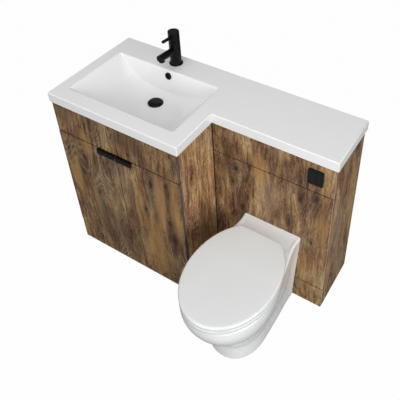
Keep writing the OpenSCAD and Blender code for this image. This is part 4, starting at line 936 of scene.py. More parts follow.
@dataclass
class Worktop:
    """The one-piece worktop with its inset bowl."""

    palette: Palette
    left: float = -594.0
    right: float = 506.0
    step: float = 8.0
    basin_front: float = -465.0
    toilet_front: float = -255.0
    top: float = 820.0
    low: float = 780.0
    plate_low: float = 805.0
    skirt: float = 20.0
    edge: float = 4.0
    bowl_x: float = -298.0
    bowl_half: float = 245.0
    bowl_back: float = -112.0
    bowl_front: float = -403.0
    bowl_corner: float = 10.0
    bowl_depth: float = 104.0
    bowl_wall: float = 11.0
    back_slope: float = 5.0
    left_slope: float = 1.05
    right_slope: float = 1.35
    front_slope: float = 1.5
    floor_slope: float = 0.2
    rim: float = 3.8
    drain_y: float = -205.0
    recess_r: float = 32.0
    waste_r: float = 22.0
    boss_r: float = 36.0
    boss_low: float = 690.0
    tap_y: float = -55.0
    tap_r: float = 17.5
    overflow_x: float = -292.5
    overflow_drop: float = 26.0
    overflow_proud: float = 0.6
    overflow_hole_r: float = 12.7
    channel_half: float = 18.0
    channel_front: float = -109.0
    channel_back: float = -83.0
    channel_floor: float = 704.0
    tap_pad_low: float = 792.0
    tap_pad_wall: float = 12.0
    plug_low: float = 37.5
    corner_points: int = 12
    long_points: int = 44
    short_points: int = 18

    def outline(self, inset: float, z: float) -> Ring:
        """Returns the L outline moved in, at a height.

        Args:
            inset: How far the outline lies inside the largest one.
            z: Height of the ring.

        Returns:
            The ring, anticlockwise from the left back corner.
        """
        l, r = self.left + inset, self.right - inset
        f, w, s, b = self.basin_front + inset, self.toilet_front + inset, self.step - inset, -inset
        turn = max(self.edge - inset, 0.4)
        plan = [(l, b), *quarter_arc(l + turn, f + turn, turn, 180, 6),
                *quarter_arc(s - turn, f + turn, turn, 270, 6), (s, w),
                *quarter_arc(r - turn, w + turn, turn, 270, 6), (r, b)]
        return [(x, y, z) for x, y in plan]

    def slab_rings(self) -> list[Ring]:
        """Returns the rings from inside the skirt, under it and up over the rounded edge."""
        rings = [self.outline(self.skirt, self.plate_low), self.outline(self.skirt, self.low),
                 self.outline(1.0, self.low), self.outline(0.0, self.low + 1)]
        rings += [self.outline(self.edge * inwards, self.top - self.edge + self.edge * up)
                  for inwards, up in [(0.0, 0.0)] + quarter_round(6)]
        return rings

    def bowl_plan(self, s: float, grow: float) -> Plan:
        """Returns the bowl's plan.

        Args:
            s: Share of the way from the waste, at 0, to the opening, at 1.
            grow: How far the plan is pushed out.

        Returns:
            The points about the waste, four round corners with straight runs between them.
        """
        base = self.recess_r
        side = lerp(base, self.bowl_half, s) + grow
        front = lerp(base, self.drain_y - self.bowl_front, s) + grow
        back = lerp(base, self.bowl_back - self.drain_y, s ** 1.4) + grow
        r = lerp(base - 0.5, self.bowl_corner, s) + 50 * s * (1 - s) + grow
        r = min(r, side - 0.3, front - 0.3, back - 0.3)
        corners = ((side - r, -front + r, -90), (side - r, back - r, 0),
                   (-side + r, back - r, 90), (-side + r, -front + r, 180))
        arcs = [quarter_arc(x, y, r, start, self.corner_points) for x, y, start in corners]
        plan: Plan = []
        for q in range(4):
            end, nxt = arcs[q][-1], arcs[(q + 1) % 4][0]
            more = self.short_points if q % 2 == 0 else self.long_points
            plan += arcs[q]
            plan += [(lerp(end[0], nxt[0], i / (more + 1)), lerp(end[1], nxt[1], i / (more + 1)))
                     for i in range(1, more + 1)]
        return plan

    def bowl_rise(self, x: float, y: float) -> float:
        """Returns the height of the bowl's surface above the waste.

        The floor sweeps softly into the side walls; the back and front walls meet it crisply.

        Args:
            x: Place to the right of the waste.
            y: Place behind the waste.

        Returns:
            The height in millimetres.
        """
        def joined(heights: Sequence[float], soft: float) -> float:
            """Returns the greatest height, with a soft change from one to the next."""
            top = max(heights)
            return top + soft * math.log(sum(math.exp((h - top) / soft) for h in heights))

        side = self.left_slope if x < 0 else self.right_slope
        swept = joined((self.floor_slope * max(0.0, math.hypot(x, y) - self.recess_r - 1),
                        self.bowl_depth - side * (self.bowl_half - abs(x))), 7.0)
        return joined((swept,
                       self.bowl_depth - self.back_slope * (self.bowl_back - self.drain_y - y),
                       self.bowl_depth - self.front_slope * (self.drain_y - self.bowl_front + y)),
                      4.0)

    def bowl_ring(self, s: float, grow: float, drop: float) -> Ring:
        """Returns a ring of the bowl's surface, pushed out and lowered."""
        bottom = self.top - self.bowl_depth
        plan, pushed = self.bowl_plan(s, 0.0), self.bowl_plan(s, grow)
        return [(self.bowl_x + p[0], self.drain_y + p[1],
                 bottom + min(self.bowl_rise(*q), self.bowl_depth - 2.6) - drop)
                for p, q in zip(pushed, plan)]

    def flat_ring(self, s: float, grow: float, z: float) -> Ring:
        """Returns a level ring of the bowl's plan."""
        return [(self.bowl_x + x, self.drain_y + y, z) for x, y in self.bowl_plan(s, grow)]

    def drain_ring(self, radius: float, z: float) -> Ring:
        """Returns a round ring about the waste with the bowl's count of points."""
        return [(self.bowl_x + radius * x / math.hypot(x, y),
                 self.drain_y + radius * y / math.hypot(x, y), z)
                for x, y in self.bowl_plan(0.0, 0.0)]

    def circle(self, radius: float, z: float, count: int = 48) -> Ring:
        """Returns a round ring about the tap hole."""
        return [(self.bowl_x + radius * math.cos(2 * math.pi * i / count),
                 self.tap_y + radius * math.sin(2 * math.pi * i / count), z)
                for i in range(count)]

    def bowl_rings(self) -> list[Ring]:
        """Returns the rings down the bowl, through the waste and back up its underside."""
        rings = [self.flat_ring(1, g, self.top - d) for g, d in (
            (2.6, 0.12), (1.6, 0.5), (0.8, 1.1), (0.3, 1.8))]
        steps = [0.994, 0.985, 0.97, 0.955] + [0.94 - 0.0165 * i for i in range(57)]
        rings += [self.bowl_ring(s, 0.0, 0.0) for s in steps if s > 0.01]
        z = self.top - self.bowl_depth
        rings += [self.drain_ring(radius, height) for radius, height in (
            (self.recess_r, z), (self.recess_r - 0.4, z - 2.5), (self.waste_r, z - 2.5),
            (self.waste_r, self.boss_low), (self.boss_r, self.boss_low),
            (self.boss_r, z - self.bowl_wall - 1))]
        rings += [self.bowl_ring(s, self.bowl_wall, self.bowl_wall)
                  for s in (0.1, 0.2, 0.3, 0.4, 0.5, 0.58, 0.66, 0.74, 0.82, 0.9)]
        rings.append(self.flat_ring(1, self.bowl_wall, self.plate_low))
        return rings

    def build(self) -> bpy.types.Object:
        """Builds the casting: slab, bowl and underside in one closed skin."""
        bm = bmesh.new()
        slab = Loft(bm, self.slab_rings()[0])
        slab.through(self.slab_rings()[1:])
        bowl = Loft(bm, self.flat_ring(1, self.rim, self.top))
        bowl.through(self.bowl_rings())
        hole = Loft(bm, self.circle(self.tap_r, self.top))
        pad = self.tap_r + self.tap_pad_wall
        hole.through([self.circle(self.tap_r, self.tap_pad_low),
                      self.circle(pad, self.tap_pad_low), self.circle(pad, self.plate_low)])
        bmesh.ops.triangle_fill(bm, use_beauty=True, use_dissolve=False,
                                edges=slab.edges + bowl.first_edges + hole.first_edges)
        bmesh.ops.triangle_fill(bm, use_beauty=True, use_dissolve=False,
                                edges=slab.first_edges + bowl.edges + hole.edges)
        self.add_ribs(bm)
        obj = into_object(bm, "worktop_shown")
        centre, tilt = self.overflow_place()
        axis = Vector((0.0, math.cos(tilt), -math.sin(tilt)))
        hole = bmesh.new()
        add_bar(hole, self.overflow_hole_r, tuple(centre - axis * 6), tuple(centre + axis * 15),
                48)
        carve(obj, into_object(hole, "overflow_cutter"))
        return finish_piece(obj, "unit", "resin", self.palette.resin, angle=50,
                            stands_for=("worktop",))

    def overflow_place(self) -> tuple[Vector, float]:
        """Returns the middle of the overflow on the back wall, and its tilt."""
        wall = self.bowl_back - self.overflow_drop / self.back_slope
        return (Vector((self.overflow_x, wall - self.overflow_proud,
                        self.top - self.overflow_drop)), math.atan(1 / self.back_slope))

    def lay_on_wall(self, bm: bmesh.types.BMesh) -> None:
        """Moves an upright shape from the origin to the overflow's place on the back wall."""
        centre, tilt = self.overflow_place()
        bmesh.ops.transform(bm, verts=bm.verts, matrix=Matrix.Translation(centre * MM)
                            @ Matrix.Rotation(math.pi / 2 - tilt, 4, "X"))

    def add_ribs(self, bm: bmesh.types.BMesh) -> None:
        """Adds the cross rib over the cabinets' joint and the overflow's channel."""
        add_box(bm, (-self.skirt, self.toilet_front + 10, self.low),
                (self.skirt, -10, self.plate_low + 1), 0.6)
        left, right = self.bowl_x - self.channel_half, self.bowl_x + self.channel_half
        add_box(bm, (left, self.channel_front, self.boss_low),
                (right, self.channel_back, self.plate_low + 1), 2.0)
        add_box(bm, (left, self.drain_y, self.boss_low),
                (right, self.channel_back, self.channel_floor), 2.0)

    def build_overflow(self) -> bpy.types.Object:
        """Builds the overflow's ring with its dark throat."""
        bm = bmesh.new()
        spin_profile(bm, [(9.2, -13), (9.2, 1.4), (9.8, 2.2), (11.2, 2.6), (14.2, 2.1),
                          (15.2, 1.1), (15.2, 0.2), (12.4, 0.2), (12.4, -13), (9.2, -13)],
                     (0, 0, 0), 56)
        self.lay_on_wall(bm)
        return finish_piece(into_object(bm, "overflow_ring_shown"), "unit", "black_metal",
                            self.palette.black, stands_for=("overflow_ring",))

    def build_overflow_shade_cup(self) -> bpy.types.Object:
        """Builds a near-black cup seen through the overflow's ring: painted shade for the dark
        inside of the hole.
        """
        bm = bmesh.new()
        spin_profile(bm, [(0, -9), (8.9, -9), (8.9, 0.4), (8.5, 0.4), (8.5, -8.5), (0, -8.5)],
                     (0, 0, 0), 40)
        self.lay_on_wall(bm)
        return finish_piece(into_object(bm, "overflow_painted_shade_cup"), "unit", "rubber",
                            self.palette.rubber)

    def build_plug(self) -> bpy.types.Object:
        """Builds the click-clack plug with its stem."""
        bm = bmesh.new()
        z = self.top - self.bowl_depth
        spin_profile(bm, [(0, 0.5), (30, 0.5), (30.5, 1.6), (30.2, 2.8), (29.0, 3.9), (26.6, 4.7),
                          (22.5, 5.1), (12, 5.35), (0, 5.5)], (self.bowl_x, self.drain_y, z), 72)
        add_bar(bm, 4, (self.bowl_x, self.drain_y, z - self.plug_low),
                (self.bowl_x, self.drain_y, z + 1), 24)
        return finish_piece(into_object(bm, "waste_plug_shown"), "plug", "black_metal",
                            self.palette.black, stands_for=("waste_plug",))


# ---------- tap ----------

@dataclass
class Tap:
    """The mono basin mixer: column, spout, tilting handle and pin lever."""

    palette: Palette
    x: float = -298.0
    y: float = -55.0
    top: float = 820.0
    radius: float = 22.8
    part_line: float = 928.0
    ball_z: float = 948.396
    ball_r: float = 29.9
    slot_half: float = 9.2
    slot_back: float = 17.5
    height: float = 148.0
    spout_z: float = 884.0
    reach: float = 98.0
    spout_r: float = 14.0
    rise: float = 5.0
    lever_r: float = 6.3
    lever_len: float = 46.0

    def build_body(self) -> bpy.types.Object:
        """Builds the foot, the column and the spout with its outlet."""
        bm = bmesh.new()
        r = self.radius
        spin_profile(bm, [(0, 0), (28, 0), (28, 3.2), (27.5, 4.4), (26.4, 5.2), (24.2, 5.8),
                          (23.1, 6.6), (r, 8.2), (r, 107.3), (r - 0.2, 107.7),
                          (r - 0.7, 107.5), (16, 102.4), (8, 98.9), (0, 98)],
                     (self.x, self.y, self.top), 72)
        angle = math.radians(self.rise)
        length = self.reach / math.cos(angle)
        turn = Matrix.Rotation(math.pi / 2 - angle, 4, "X")
        s = self.spout_r
        spin_profile(bm, [(0, 10), (s, 10), (s, length - 0.9), (s - 0.3, length - 0.3),
                          (s - 0.9, length), (0, length)],
                     (self.x, self.y, self.spout_z), 56, turn)
        out_y = self.y - self.reach + s
        out_z = self.spout_z + (self.reach - s) * math.tan(angle)
        spin_profile(bm, [(8.8, -s - 3), (11.2, -s - 3), (12, -s - 2), (12, -2), (0, -2),
                          (0, -s - 1.4), (8.8, -s - 1.4), (8.8, -s - 3)],
                     (self.x, out_y, out_z), 48)
        return finish_piece(into_object(bm, "tap_body_shown"), "unit", "black_metal",
                            self.palette.black, angle=32, stands_for=("tap_body",))

    def build_handle(self) -> bpy.types.Object:
        """Builds the tilting handle with its ball shaped underside."""
        bm = bmesh.new()
        r, ball_r = self.radius, self.ball_r
        low = self.part_line + 0.5
        ball = [(ball_r * math.sin(math.radians(a)),
                 self.ball_z - ball_r * math.cos(math.radians(a)))
                for a in (24, 30, 36, 41, 45.5)]
        top = self.top + self.height
        profile = [(12.16, 933.0)] + ball + [(r - 0.5, low), (r, low + 0.5), (r, top - 2.0),
                                             (r - 0.5, top - 0.7), (r - 1.6, top - 0.1),
                                             (r - 3.0, top), (0, top), (0, 957.0),
                                             (9.0, 957.0), (9.0, 933.0), (12.16, 933.0)]
        spin_profile(bm, profile, (self.x, self.y, 0), 72)
        obj = into_object(bm, "tap_handle_shown")
        slot = bmesh.new()
        half = self.slot_half
        add_box(slot, (self.x - half, self.y - half, 912.0),
                (self.x + half, self.y + self.slot_back, 957.5), 0.3)
        carve(obj, into_object(slot, "slot_cutter"))
        return finish_piece(obj, "tap_top", "black_metal", self.palette.black, angle=32,
                            stands_for=("tap_handle",))

    def build_lever(self) -> bpy.types.Object:
        """Builds the pin lever with its rounded end."""
        bm = bmesh.new()
        n, length = self.lever_r, self.lever_len + 6
        spin_profile(bm, [(0, 0), (n, 0), (n, length - 1.2), (n - 0.35, length - 0.4),
                          (n - 1.1, length), (0, length)],
                     (self.x, self.y - self.radius + 6, self.ball_z), 32,
                     Matrix.Rotation(math.radians(85), 4, "X"))
        return finish_piece(into_object(bm, "tap_lever_shown"), "tap_top", "black_metal",
                            self.palette.black, angle=35, stands_for=("tap_lever",))


# ---------- cabinets ----------

@dataclass
class Cabinets:
    """Both cabinets: their boards, doors, handles and flush plate."""

    palette: Palette
    door_front: float = -461.5
    lip_in: float = 8.0
    handles_meet: float = -290.5
    right_share: float = 0.89
    wall_front: float = -247.0
    plate_z: float = 711.0
    plate_proud: float = 9.0
    pressed: float = 3.0
    pressed_share: float = 0.4
    plate_share: float = 0.92
    # Box of the dark corner strip, which is painted shadow.
    corner_shadow_box: tuple[Point, Point] = ((0.15, -248.4, 1.0), (5.2, -247.1, 779.0))

    def handle_point(self, point: Vector) -> Vector:
        """Draws a handle's lip in, and its right end too, to the size that shows."""
        x, y, z = point
        if y < self.door_front - 2:
            y += self.lip_in
        if x > self.handles_meet:
            x = self.handles_meet + (x - self.handles_meet) * self.right_share
        return Vector((x, y, z))

    def plate_point(self, point: Vector) -> Vector:
        """Makes the flush plate and its buttons flatter and a little lower.

        Only the front few millimetres are pressed together, so the buttons keep their travel.
        """
        x, y, z = point
        if y < self.wall_front - 0.5:
            still = self.wall_front - self.plate_proud + self.pressed
            y = max(y, still) - max(still - y, 0.0) * self.pressed_share
            z = self.plate_z + (z - self.plate_z) * self.plate_share
        return Vector((x, y, z))

    def build(self) -> None:
        """Rounds the boards' edges and gives them their grain, with painted shade on the edges that
        face the gaps, and adds the corner's painted shadow strip.
        """
        p = self.palette
        # Top, bottom and inner edges of the fronts take painted shade, which darkens the gaps
        # between them.
        gap_shade_edges = [((0, 0, 1), p.seam), ((0, 0, -1), p.seam), ((-1, 0, 0), p.seam)]
        basin = [((1, 0, 0), p.basin_end_painted_shade)] + gap_shade_edges
        toilet = [((1, 0, 0), p.toilet_end_painted_highlight)] + gap_shade_edges
        for node in ("basin_fascia", "basin_plinth"):
            softened(node, "unit", "oak", p.basin_oak, 0.7, 2, 10, basin)
        for node in ("wc_fascia", "wc_access_panel", "wc_plinth"):
            softened(node, "unit", "oak", p.toilet_oak, 0.7, 2, 10, toilet)
        for node in ("basin_left_side", "wc_right_side"):
            softened(node, "unit", "oak", p.side_oak, 0.6, 2, 30)
        softened("basin_right_side", "unit", "oak", p.corner_oak_painted_light, 0.6, 2, 30)
        softened("left_door", "left_leaf", "oak", p.basin_oak, 0.7, 2, 30,
                 [((1, 0, 0), p.seam)] + gap_shade_edges)
        softened("right_door", "right_leaf", "oak", p.basin_oak, 0.7, 2, 30, basin)
        for side in ("left", "right"):
            softened(side + "_handle", side + "_leaf", "black_metal", p.black, 0.5, 3,
                     shape=self.handle_point)
        for node, body in (("flush_plate", "unit"), ("full_flush_button", "full_button"),
                           ("half_flush_button", "half_button")):
            softened(node, body, "black_plastic", p.black_plastic, 0.7, 3, 8,
                     shape=self.plate_point)
        self.build_corner_shadow()

    def build_corner_shadow(self) -> bpy.types.Object:
        """Builds a dark strip in the corner between the two cabinets: painted shadow where the
        corner falls dark.
        """
        bm = bmesh.new()
        add_box(bm, *self.corner_shadow_box, 0.3)
        return finish_piece(into_object(bm, "corner_painted_shadow"), "unit", "rubber", self.palette.seam)


# ---------- pan ----------

@dataclass
class Pan:
    """The back to wall pan as one glazed casting."""

    palette: Palette
    x: float = 264.0
    height: float = 368.0
    back: float = -247.0
    back_half: float = 126.0
    foot_back_half: float = 106.0
    rim_half: float = 163.0
    rim_front: float = 751.0
    rim_mid: float = 550.0
    well_mid: float = 478.0
    longer_front: float = 28.0
    longer_back: float = 18.0
    rim_round: float = 9.0
    rim_in: float = 8.0
    foot_half: float = 108.0
    foot_front: float = 624.0
    foot_mid: float = 480.0
    wall: float = 12.0
    deck: float = 17.0
    front_points: int = 26
    side_points: int = 26
    screw_y: float = -440.0
    screw_z: float = 30.0
    screw_hole_r: float = 6.5
    shank: Point = (2.5, 88.0, 98.0)
    screw_head: Point = (6.2, 97.0, 104.0)

    def across(self, reach: float) -> Point:
        """Returns the place on the side screws' line that lies a distance from the middle."""
        return self.x + reach, self.screw_y, self.screw_z

    def blend(self, z: float) -> float:
        """Returns how far the shape has gone from foot to rim at a height."""
        t = min(1.0, max(0.0, (z - 70) / (self.height - 26 - 70)))
        return (t * t * (3 - 2 * t)) ** 0.85

    def half(self, z: float, inset: float) -> Plan:
        """Returns the right half of the outline, with a round back corner.

        Args:
            z: Height of the outline.
            inset: How far it lies inside the outer skin.

        Returns:
            The points from front to back, measured from the middle.
        """
        b, rise = self.blend(z), z / self.height
        w_back = lerp(self.foot_back_half, self.back_half, rise) - inset
        waist = 2 + 6 * math.sin(math.radians(150 * rise))
        w = lerp(self.foot_half, self.rim_half, b) - inset
        mid = -lerp(self.foot_mid, self.rim_mid, b)
        front = lerp(self.foot_front, self.rim_front, b) + mid - inset
        power = lerp(2.25, 2.1, b)
        out = []
        for i in range(self.front_points):
            t = math.radians(90 * i / self.front_points)
            out.append((w * math.sin(t) ** (2 / power), mid - front * math.cos(t) ** (2 / power)))
        reach = max(6.0 - inset, 0.6)
        for i in range(self.side_points + 1):
            u = i / self.side_points
            y = lerp(mid, self.back - reach, u)
            share = (y - mid) / (self.back - mid)
            ease = (1 - math.cos(math.pi * share)) / 2
            out.append((lerp(w, w_back, ease) - waist * math.sin(math.pi * share ** 3), y))
        edge = out[-1][0]
        for i in range(1, 6):
            a = math.radians(18 * i)
            out.append((edge - reach * (1 - math.cos(a)), self.back - reach + reach * math.sin(a)))
        return out

    def ring(self, z: float, inset: float) -> Ring:
        """Returns the whole outline at a height, anticlockwise from the front."""
        return both_halves(self.x, self.half(z, inset), z)

    def oval(self, z: float, a: float, mid: float, front: float, back: float) -> Ring:
        """Returns an oval ring whose points match the outline's."""
        count = len(self.half(self.height, 0))
        right = []
        for i in range(count):
            t = math.radians(-90 + 180 * i / (count - 1) * (1 - 0.5 / (count - 0.5)))
            reach = front if t < 0 else back
            right.append((a * math.cos(t), -mid + reach * math.sin(t)))
        return both_halves(self.x, right, z)

    def opening(self, z: float, a: float) -> Ring:
        """Returns a ring of the rim's opening, which is longer to the front than to the back."""
        return self.oval(z, a, self.rim_mid, a + self.longer_front, a + self.longer_back)

    def bowl(self, t: float, grow: float) -> Ring:
        """Returns the bowl's ring at t, from 0 at the well to 1 under the rim."""
        s, c = math.sin(math.pi / 2 * t), math.cos(math.pi / 2 * t)
        return self.oval(lerp(150, self.height - self.deck - 13, 1 - c), lerp(50, 130, s) + grow,
                         lerp(self.well_mid, self.rim_mid, t), lerp(52, 158, s) + grow,
                         lerp(50, 148, s) + grow)

    def deck_rings(self) -> list[Ring]:
        """Returns the rings from the rounded rim over the dished shelf to the opening."""
        outer = self.ring(self.height, self.rim_in)
        inner = self.opening(self.height, 121)

        def between(t: float, sink: float) -> Ring:
            """Returns a ring between the rim and the opening, sunk on the shelf."""
            ring = []
            for p, q in zip(outer, inner):
                y = lerp(p[1], q[1], t)
                ring.append((lerp(p[0], q[0], t), y,
                             self.height - sink * smooth(-338, -318, y)))
            return ring
        return [self.ring(self.height, 9.5), between(0.06, 0.5), between(0.10, 1.9),
                between(0.15, 2.4), between(0.3, 2.5), between(0.5, 2.5), between(0.75, 2.5), inner]

    def build(self) -> bpy.types.Object:
        """Builds the casting from the floor, over the rim, down the bowl and round inside."""
        h = self.height
        outer = [self.ring(z, 0) for z in [1.2, 12, 30, 50, 70] + [84 + 11.5 * i for i in range(23)]
                 + [348, 354, h - self.rim_round]]
        edge = [self.ring(h - self.rim_round * (1 - up), self.rim_in * inwards)
                for inwards, up in quarter_round(6)]
        rim = [self.opening(h - down, a) for down, a in (
            (0.6, 118.4), (2.5, 115.5), (6, 113.4), (12, 113), (22, 113.3), (27, 116), (29, 121))]
        bowl = [self.bowl(1 - 0.04 * i, 0) for i in range(25)]
        well = [self.oval(z, a, self.well_mid, front, a) for z, a, front in (
            (134, 48, 49), (112, 46, 46), (100, 43, 43), (94, 37, 37), (92, 26, 26))]
        bm = bmesh.new()
        skin = Loft(bm, outer[0])
        skin.through(outer[1:] + edge + self.deck_rings() + rim + bowl + well)
        skin.pole((self.x, -self.well_mid, 91.6))
        under = Loft(bm, outer[0])
        under.through([self.ring(0, 1.2), self.ring(0, self.wall - 1), self.ring(1, self.wall)]
                      + [self.ring(z, self.wall)
                         for z in (60, 120, 180, 240, 300, h - self.deck - 9)]
                      + [self.ring(h - self.deck, self.wall + 8), self.opening(h - self.deck, 141)]
                      + [self.bowl(t, 10) for t in (1, 0.85, 0.7, 0.5, 0.3, 0.15)]
                      + [self.oval(z, a, self.well_mid, a, a) for z, a in ((98, 53), (84, 42))])
        under.pole((self.x, -self.well_mid, 82))
        bmesh.ops.remove_doubles(bm, verts=bm.verts, dist=1e-7)
        obj = into_object(bm, "pan_shown")
        for side in (-1, 1):
            hole = bmesh.new()
            add_bar(hole, self.screw_hole_r, self.across(side * 70), self.across(side * 130), 32)
            carve(obj, into_object(hole, "hole_cutter"))
        return finish_piece(obj, "unit", "ceramic", self.palette.ceramic, angle=45,
                            stands_for=("pan",))

    def build_screws(self) -> bpy.types.Object:
        """Builds the two dark screws that lie sunk in the foot's side holes."""
        bm = bmesh.new()
        for side in (-1, 1):
            for radius, near, far in (self.shank, self.screw_head):
                add_bar(bm, radius, self.across(side * near), self.across(side * far), 24, 0.3)
        return finish_piece(into_object(bm, "pan_screws_shown"), "unit", "steel",
                            self.palette.seam, stands_for=("pan_screws",))


# ---------- seat and lid ----------

@dataclass
class Seat:
    """The seat ring and the lid that lies over it."""

    palette: Palette
    x: float = 264.0
    half_width: float = 168.0
    front: float = 758.0
    back: float = 331.0
    mid: float = 537.0
    rear: float = 239.0
    seat_low: float = 372.0
    seat_high: float = 388.0
    lid_low: float = 391.0
    lid_high: float = 408.0
    hinge_y: float = -343.0
    hinge_z: float = 383.0
    hinge_half: float = 77.5
    lug_half: float = 5.0
    hole_half: float = 103.0
    hole_front: float = 134.0
    hole_back: float = 118.0
    hole_mid: float = 550.0
    count: int = 34

    def outline(self, inset: float, z: float, short: float = 0.0) -> Ring:
        """Returns the outline moved in by inset, with small rounds at the straight back.

        Args:
            inset: How far the outline lies inside the largest one.
            z: Height of the ring.
            short: How far ahead of the lid's back edge the outline ends.

        Returns:
            The ring, anticlockwise from the front.
        """
        a, rear = self.half_width - inset, self.rear - inset
        reach = self.mid - self.back - short - inset
        front = self.front - self.mid - inset
        last = math.asin(min(1.0, reach / rear))
        right = []
        for i in range(self.count):
            t = math.pi / 2 * i / self.count
            right.append((a * math.sin(t), -self.mid - front * math.cos(t), z))
        n = self.count // 2
        for i in range(n):
            t = last * 0.97 * i / (n - 1)
            right.append((a * math.cos(t), -self.mid + rear * math.sin(t), z))
        corner = (a * math.cos(last), -self.mid + reach, z)
        right += bend_corner(right[-1], corner, (0, -self.mid + reach, z),
                             max(0.8, min(12.0 - 0.35 * inset, 0.5 * corner[0])), 6)
        left = [(-x, y, zz) for x, y, zz in reversed(right[1:])]
        return [(self.x + x, y, zz) for x, y, zz in right + left]

    def hole(self, grow: float, z: float) -> Ring:
        """Returns the seat's opening, its points matching the outline's."""
        total = len(self.outline(0, z))
        count = (total + 1) // 2
        right = []
        for i in range(count):
            t = math.radians(-90 + 180 * i / (count - 0.5))
            reach = (self.hole_front if t < 0 else self.hole_back) + grow
            right.append(((self.hole_half + grow) * math.cos(t),
                          -self.hole_mid + reach * math.sin(t)))
        return both_halves(self.x, right, z)

    def notches(self, ahead: float, low: float, high: float) -> bpy.types.Object:
        """Returns a cutter for the room round both hinges."""
        bm = bmesh.new()
        for side in (-1, 1):
            middle = self.x + side * self.hinge_half
            add_box(bm, (middle - 22, self.hinge_y - ahead, low), (middle + 22, -300, high))
        return into_object(bm, "notch_cutter")

    def edge(self, inset: float, z: float) -> Ring:
        """Returns a ring of the seat, which ends ahead of the lid."""
        return self.outline(inset, z, 5.0)

    def build_ring(self) -> bpy.types.Object:
        """Builds the seat ring with its rounded edges and hinge lugs."""
        low, high = self.seat_low, self.seat_high
        rings = [self.edge(inset, z) for inset, z in (
            (2, low), (0.6, low + 0.6), (0, low + 2), (0, high - 5.5))]
        rings += [self.edge(5.5 * inwards, high - 5.5 + 5.5 * up)
                  for inwards, up in quarter_round(6)]
        rings.append(self.edge(9, high))
        rings += [self.hole(grow, z) for grow, z in (
            (8, high), (5, high - 0.4), (2.6, high - 1.6), (1, high - 3.6), (0, high - 7),
            (0.4, low + 4), (2, low + 1), (4, low))]
        bm = bmesh.new()
        skin = Loft(bm, rings[0])
        skin.through(rings[1:])
        bmesh.ops.bridge_loops(bm, edges=skin.edges + skin.first_edges)
        obj = into_object(bm, "seat_shown")
        carve(obj, self.notches(10, low - 5, high + 5))
        self.add_lugs(obj, -16.5, low + 4, self.seat_low + 12)
        return finish_piece(obj, "seat_ring", "seat_plastic", self.palette.seat, angle=45,
                            stands_for=("seat",))

    def add_lugs(self, obj: bpy.types.Object, offset: float, low: float, high: float) -> None:
        """Joins the hinge lugs to a piece.

        Args:
            obj: The seat or the lid.
            offset: How far each lug's middle lies outside its hinge's middle.
            low: Lowest height of a seat's lug.
            high: Height that the lugs reach.
        """
        bm = bmesh.new()
        bm.from_mesh(obj.data)
        for side in (-1, 1):
            middle = self.x + side * (self.hinge_half + offset)
            left, right = middle - self.lug_half, middle + self.lug_half
            add_bar(bm, 7, (left, self.hinge_y, self.hinge_z),
                    (right, self.hinge_y, self.hinge_z), 32, 0.5)
            if offset < 0:
                add_box(bm, (left, self.hinge_y - 12, low), (right, self.hinge_y, high), 0.5)
            else:
                add_box(bm, (left, self.hinge_y - 7, self.hinge_z),
                        (right, self.hinge_y, high - 6), 0.5)
        bm.to_mesh(obj.data)
        bm.free()

    def build_lid(self) -> bpy.types.Object:
        """Builds the lid: a hollow shell with a nearly flat top and a soft edge."""
        low, high = self.lid_low, self.lid_high
        rings = [self.outline(inset, z) for inset, z in (
            (60, high - 6), (20, high - 6), (11, high - 6), (9, high - 8), (8.4, low + 0.6),
            (7.8, low), (1.6, low), (0.5, low + 0.5), (0, low + 2), (0, high - 9.5))]
        rings += [self.outline(8.5 * inwards, high - 9.5 + 8.3 * up)
                  for inwards, up in quarter_round(9)]
        rings += [self.outline(inset, high - down) for inset, down in (
            (13, 0.95), (22, 0.7), (40, 0.4), (70, 0.15), (110, 0.02))]
        bm = bmesh.new()
        skin = Loft(bm, rings[0])
        skin.through(rings[1:])
        skin.pole((self.x, -self.mid, high))
        under = Loft(bm, rings[0])
        under.pole((self.x, -self.mid, high - 6))
        bmesh.ops.remove_doubles(bm, verts=bm.verts, dist=1e-7)
        obj = into_object(bm, "seat_lid_shown")
        carve(obj, self.notches(10, low - 5, high - 5))
        self.add_lugs(obj, 16.5, self.hinge_z, high - 4.9)
        return finish_piece(obj, "lid", "seat_plastic", self.palette.seat, angle=45,
                            stands_for=("seat_lid",))


# ---------- carried-over nodes ----------

@dataclass
class CarriedOver:
    """CAD nodes that keep their own meshes and get a finish."""

    palette: Palette

    def dress(self) -> None:
        """Gives every node its finish, also those that a piece stands for."""
        p = self.palette
        finishes = {
            "oak": p.inside_oak, "resin": p.resin, "black_metal": p.black,
            "black_plastic": p.black_plastic, "steel": p.steel, "rubber": p.rubber,
            "pipe_plastic": p.white_plastic, "float_plastic": p.blue_plastic,
            "lifter_plastic": p.red_plastic, "ceramic": p.ceramic, "seat_plastic": p.seat,
        }
        slots = {row["node"]: row["material_slot"] for row in frame["record"]["subparts"]}
        for name, obj in frame["nodes"].items():
            obj.data.materials.clear()
            obj.data.materials.append(finishes[slots[name]])
            obj.data.shade_smooth()
            obj.data.set_sharp_from_angle(angle=math.radians(32))
        log.info("dressed %d carried-over nodes", len(frame["nodes"]))


# ---------- studio ----------

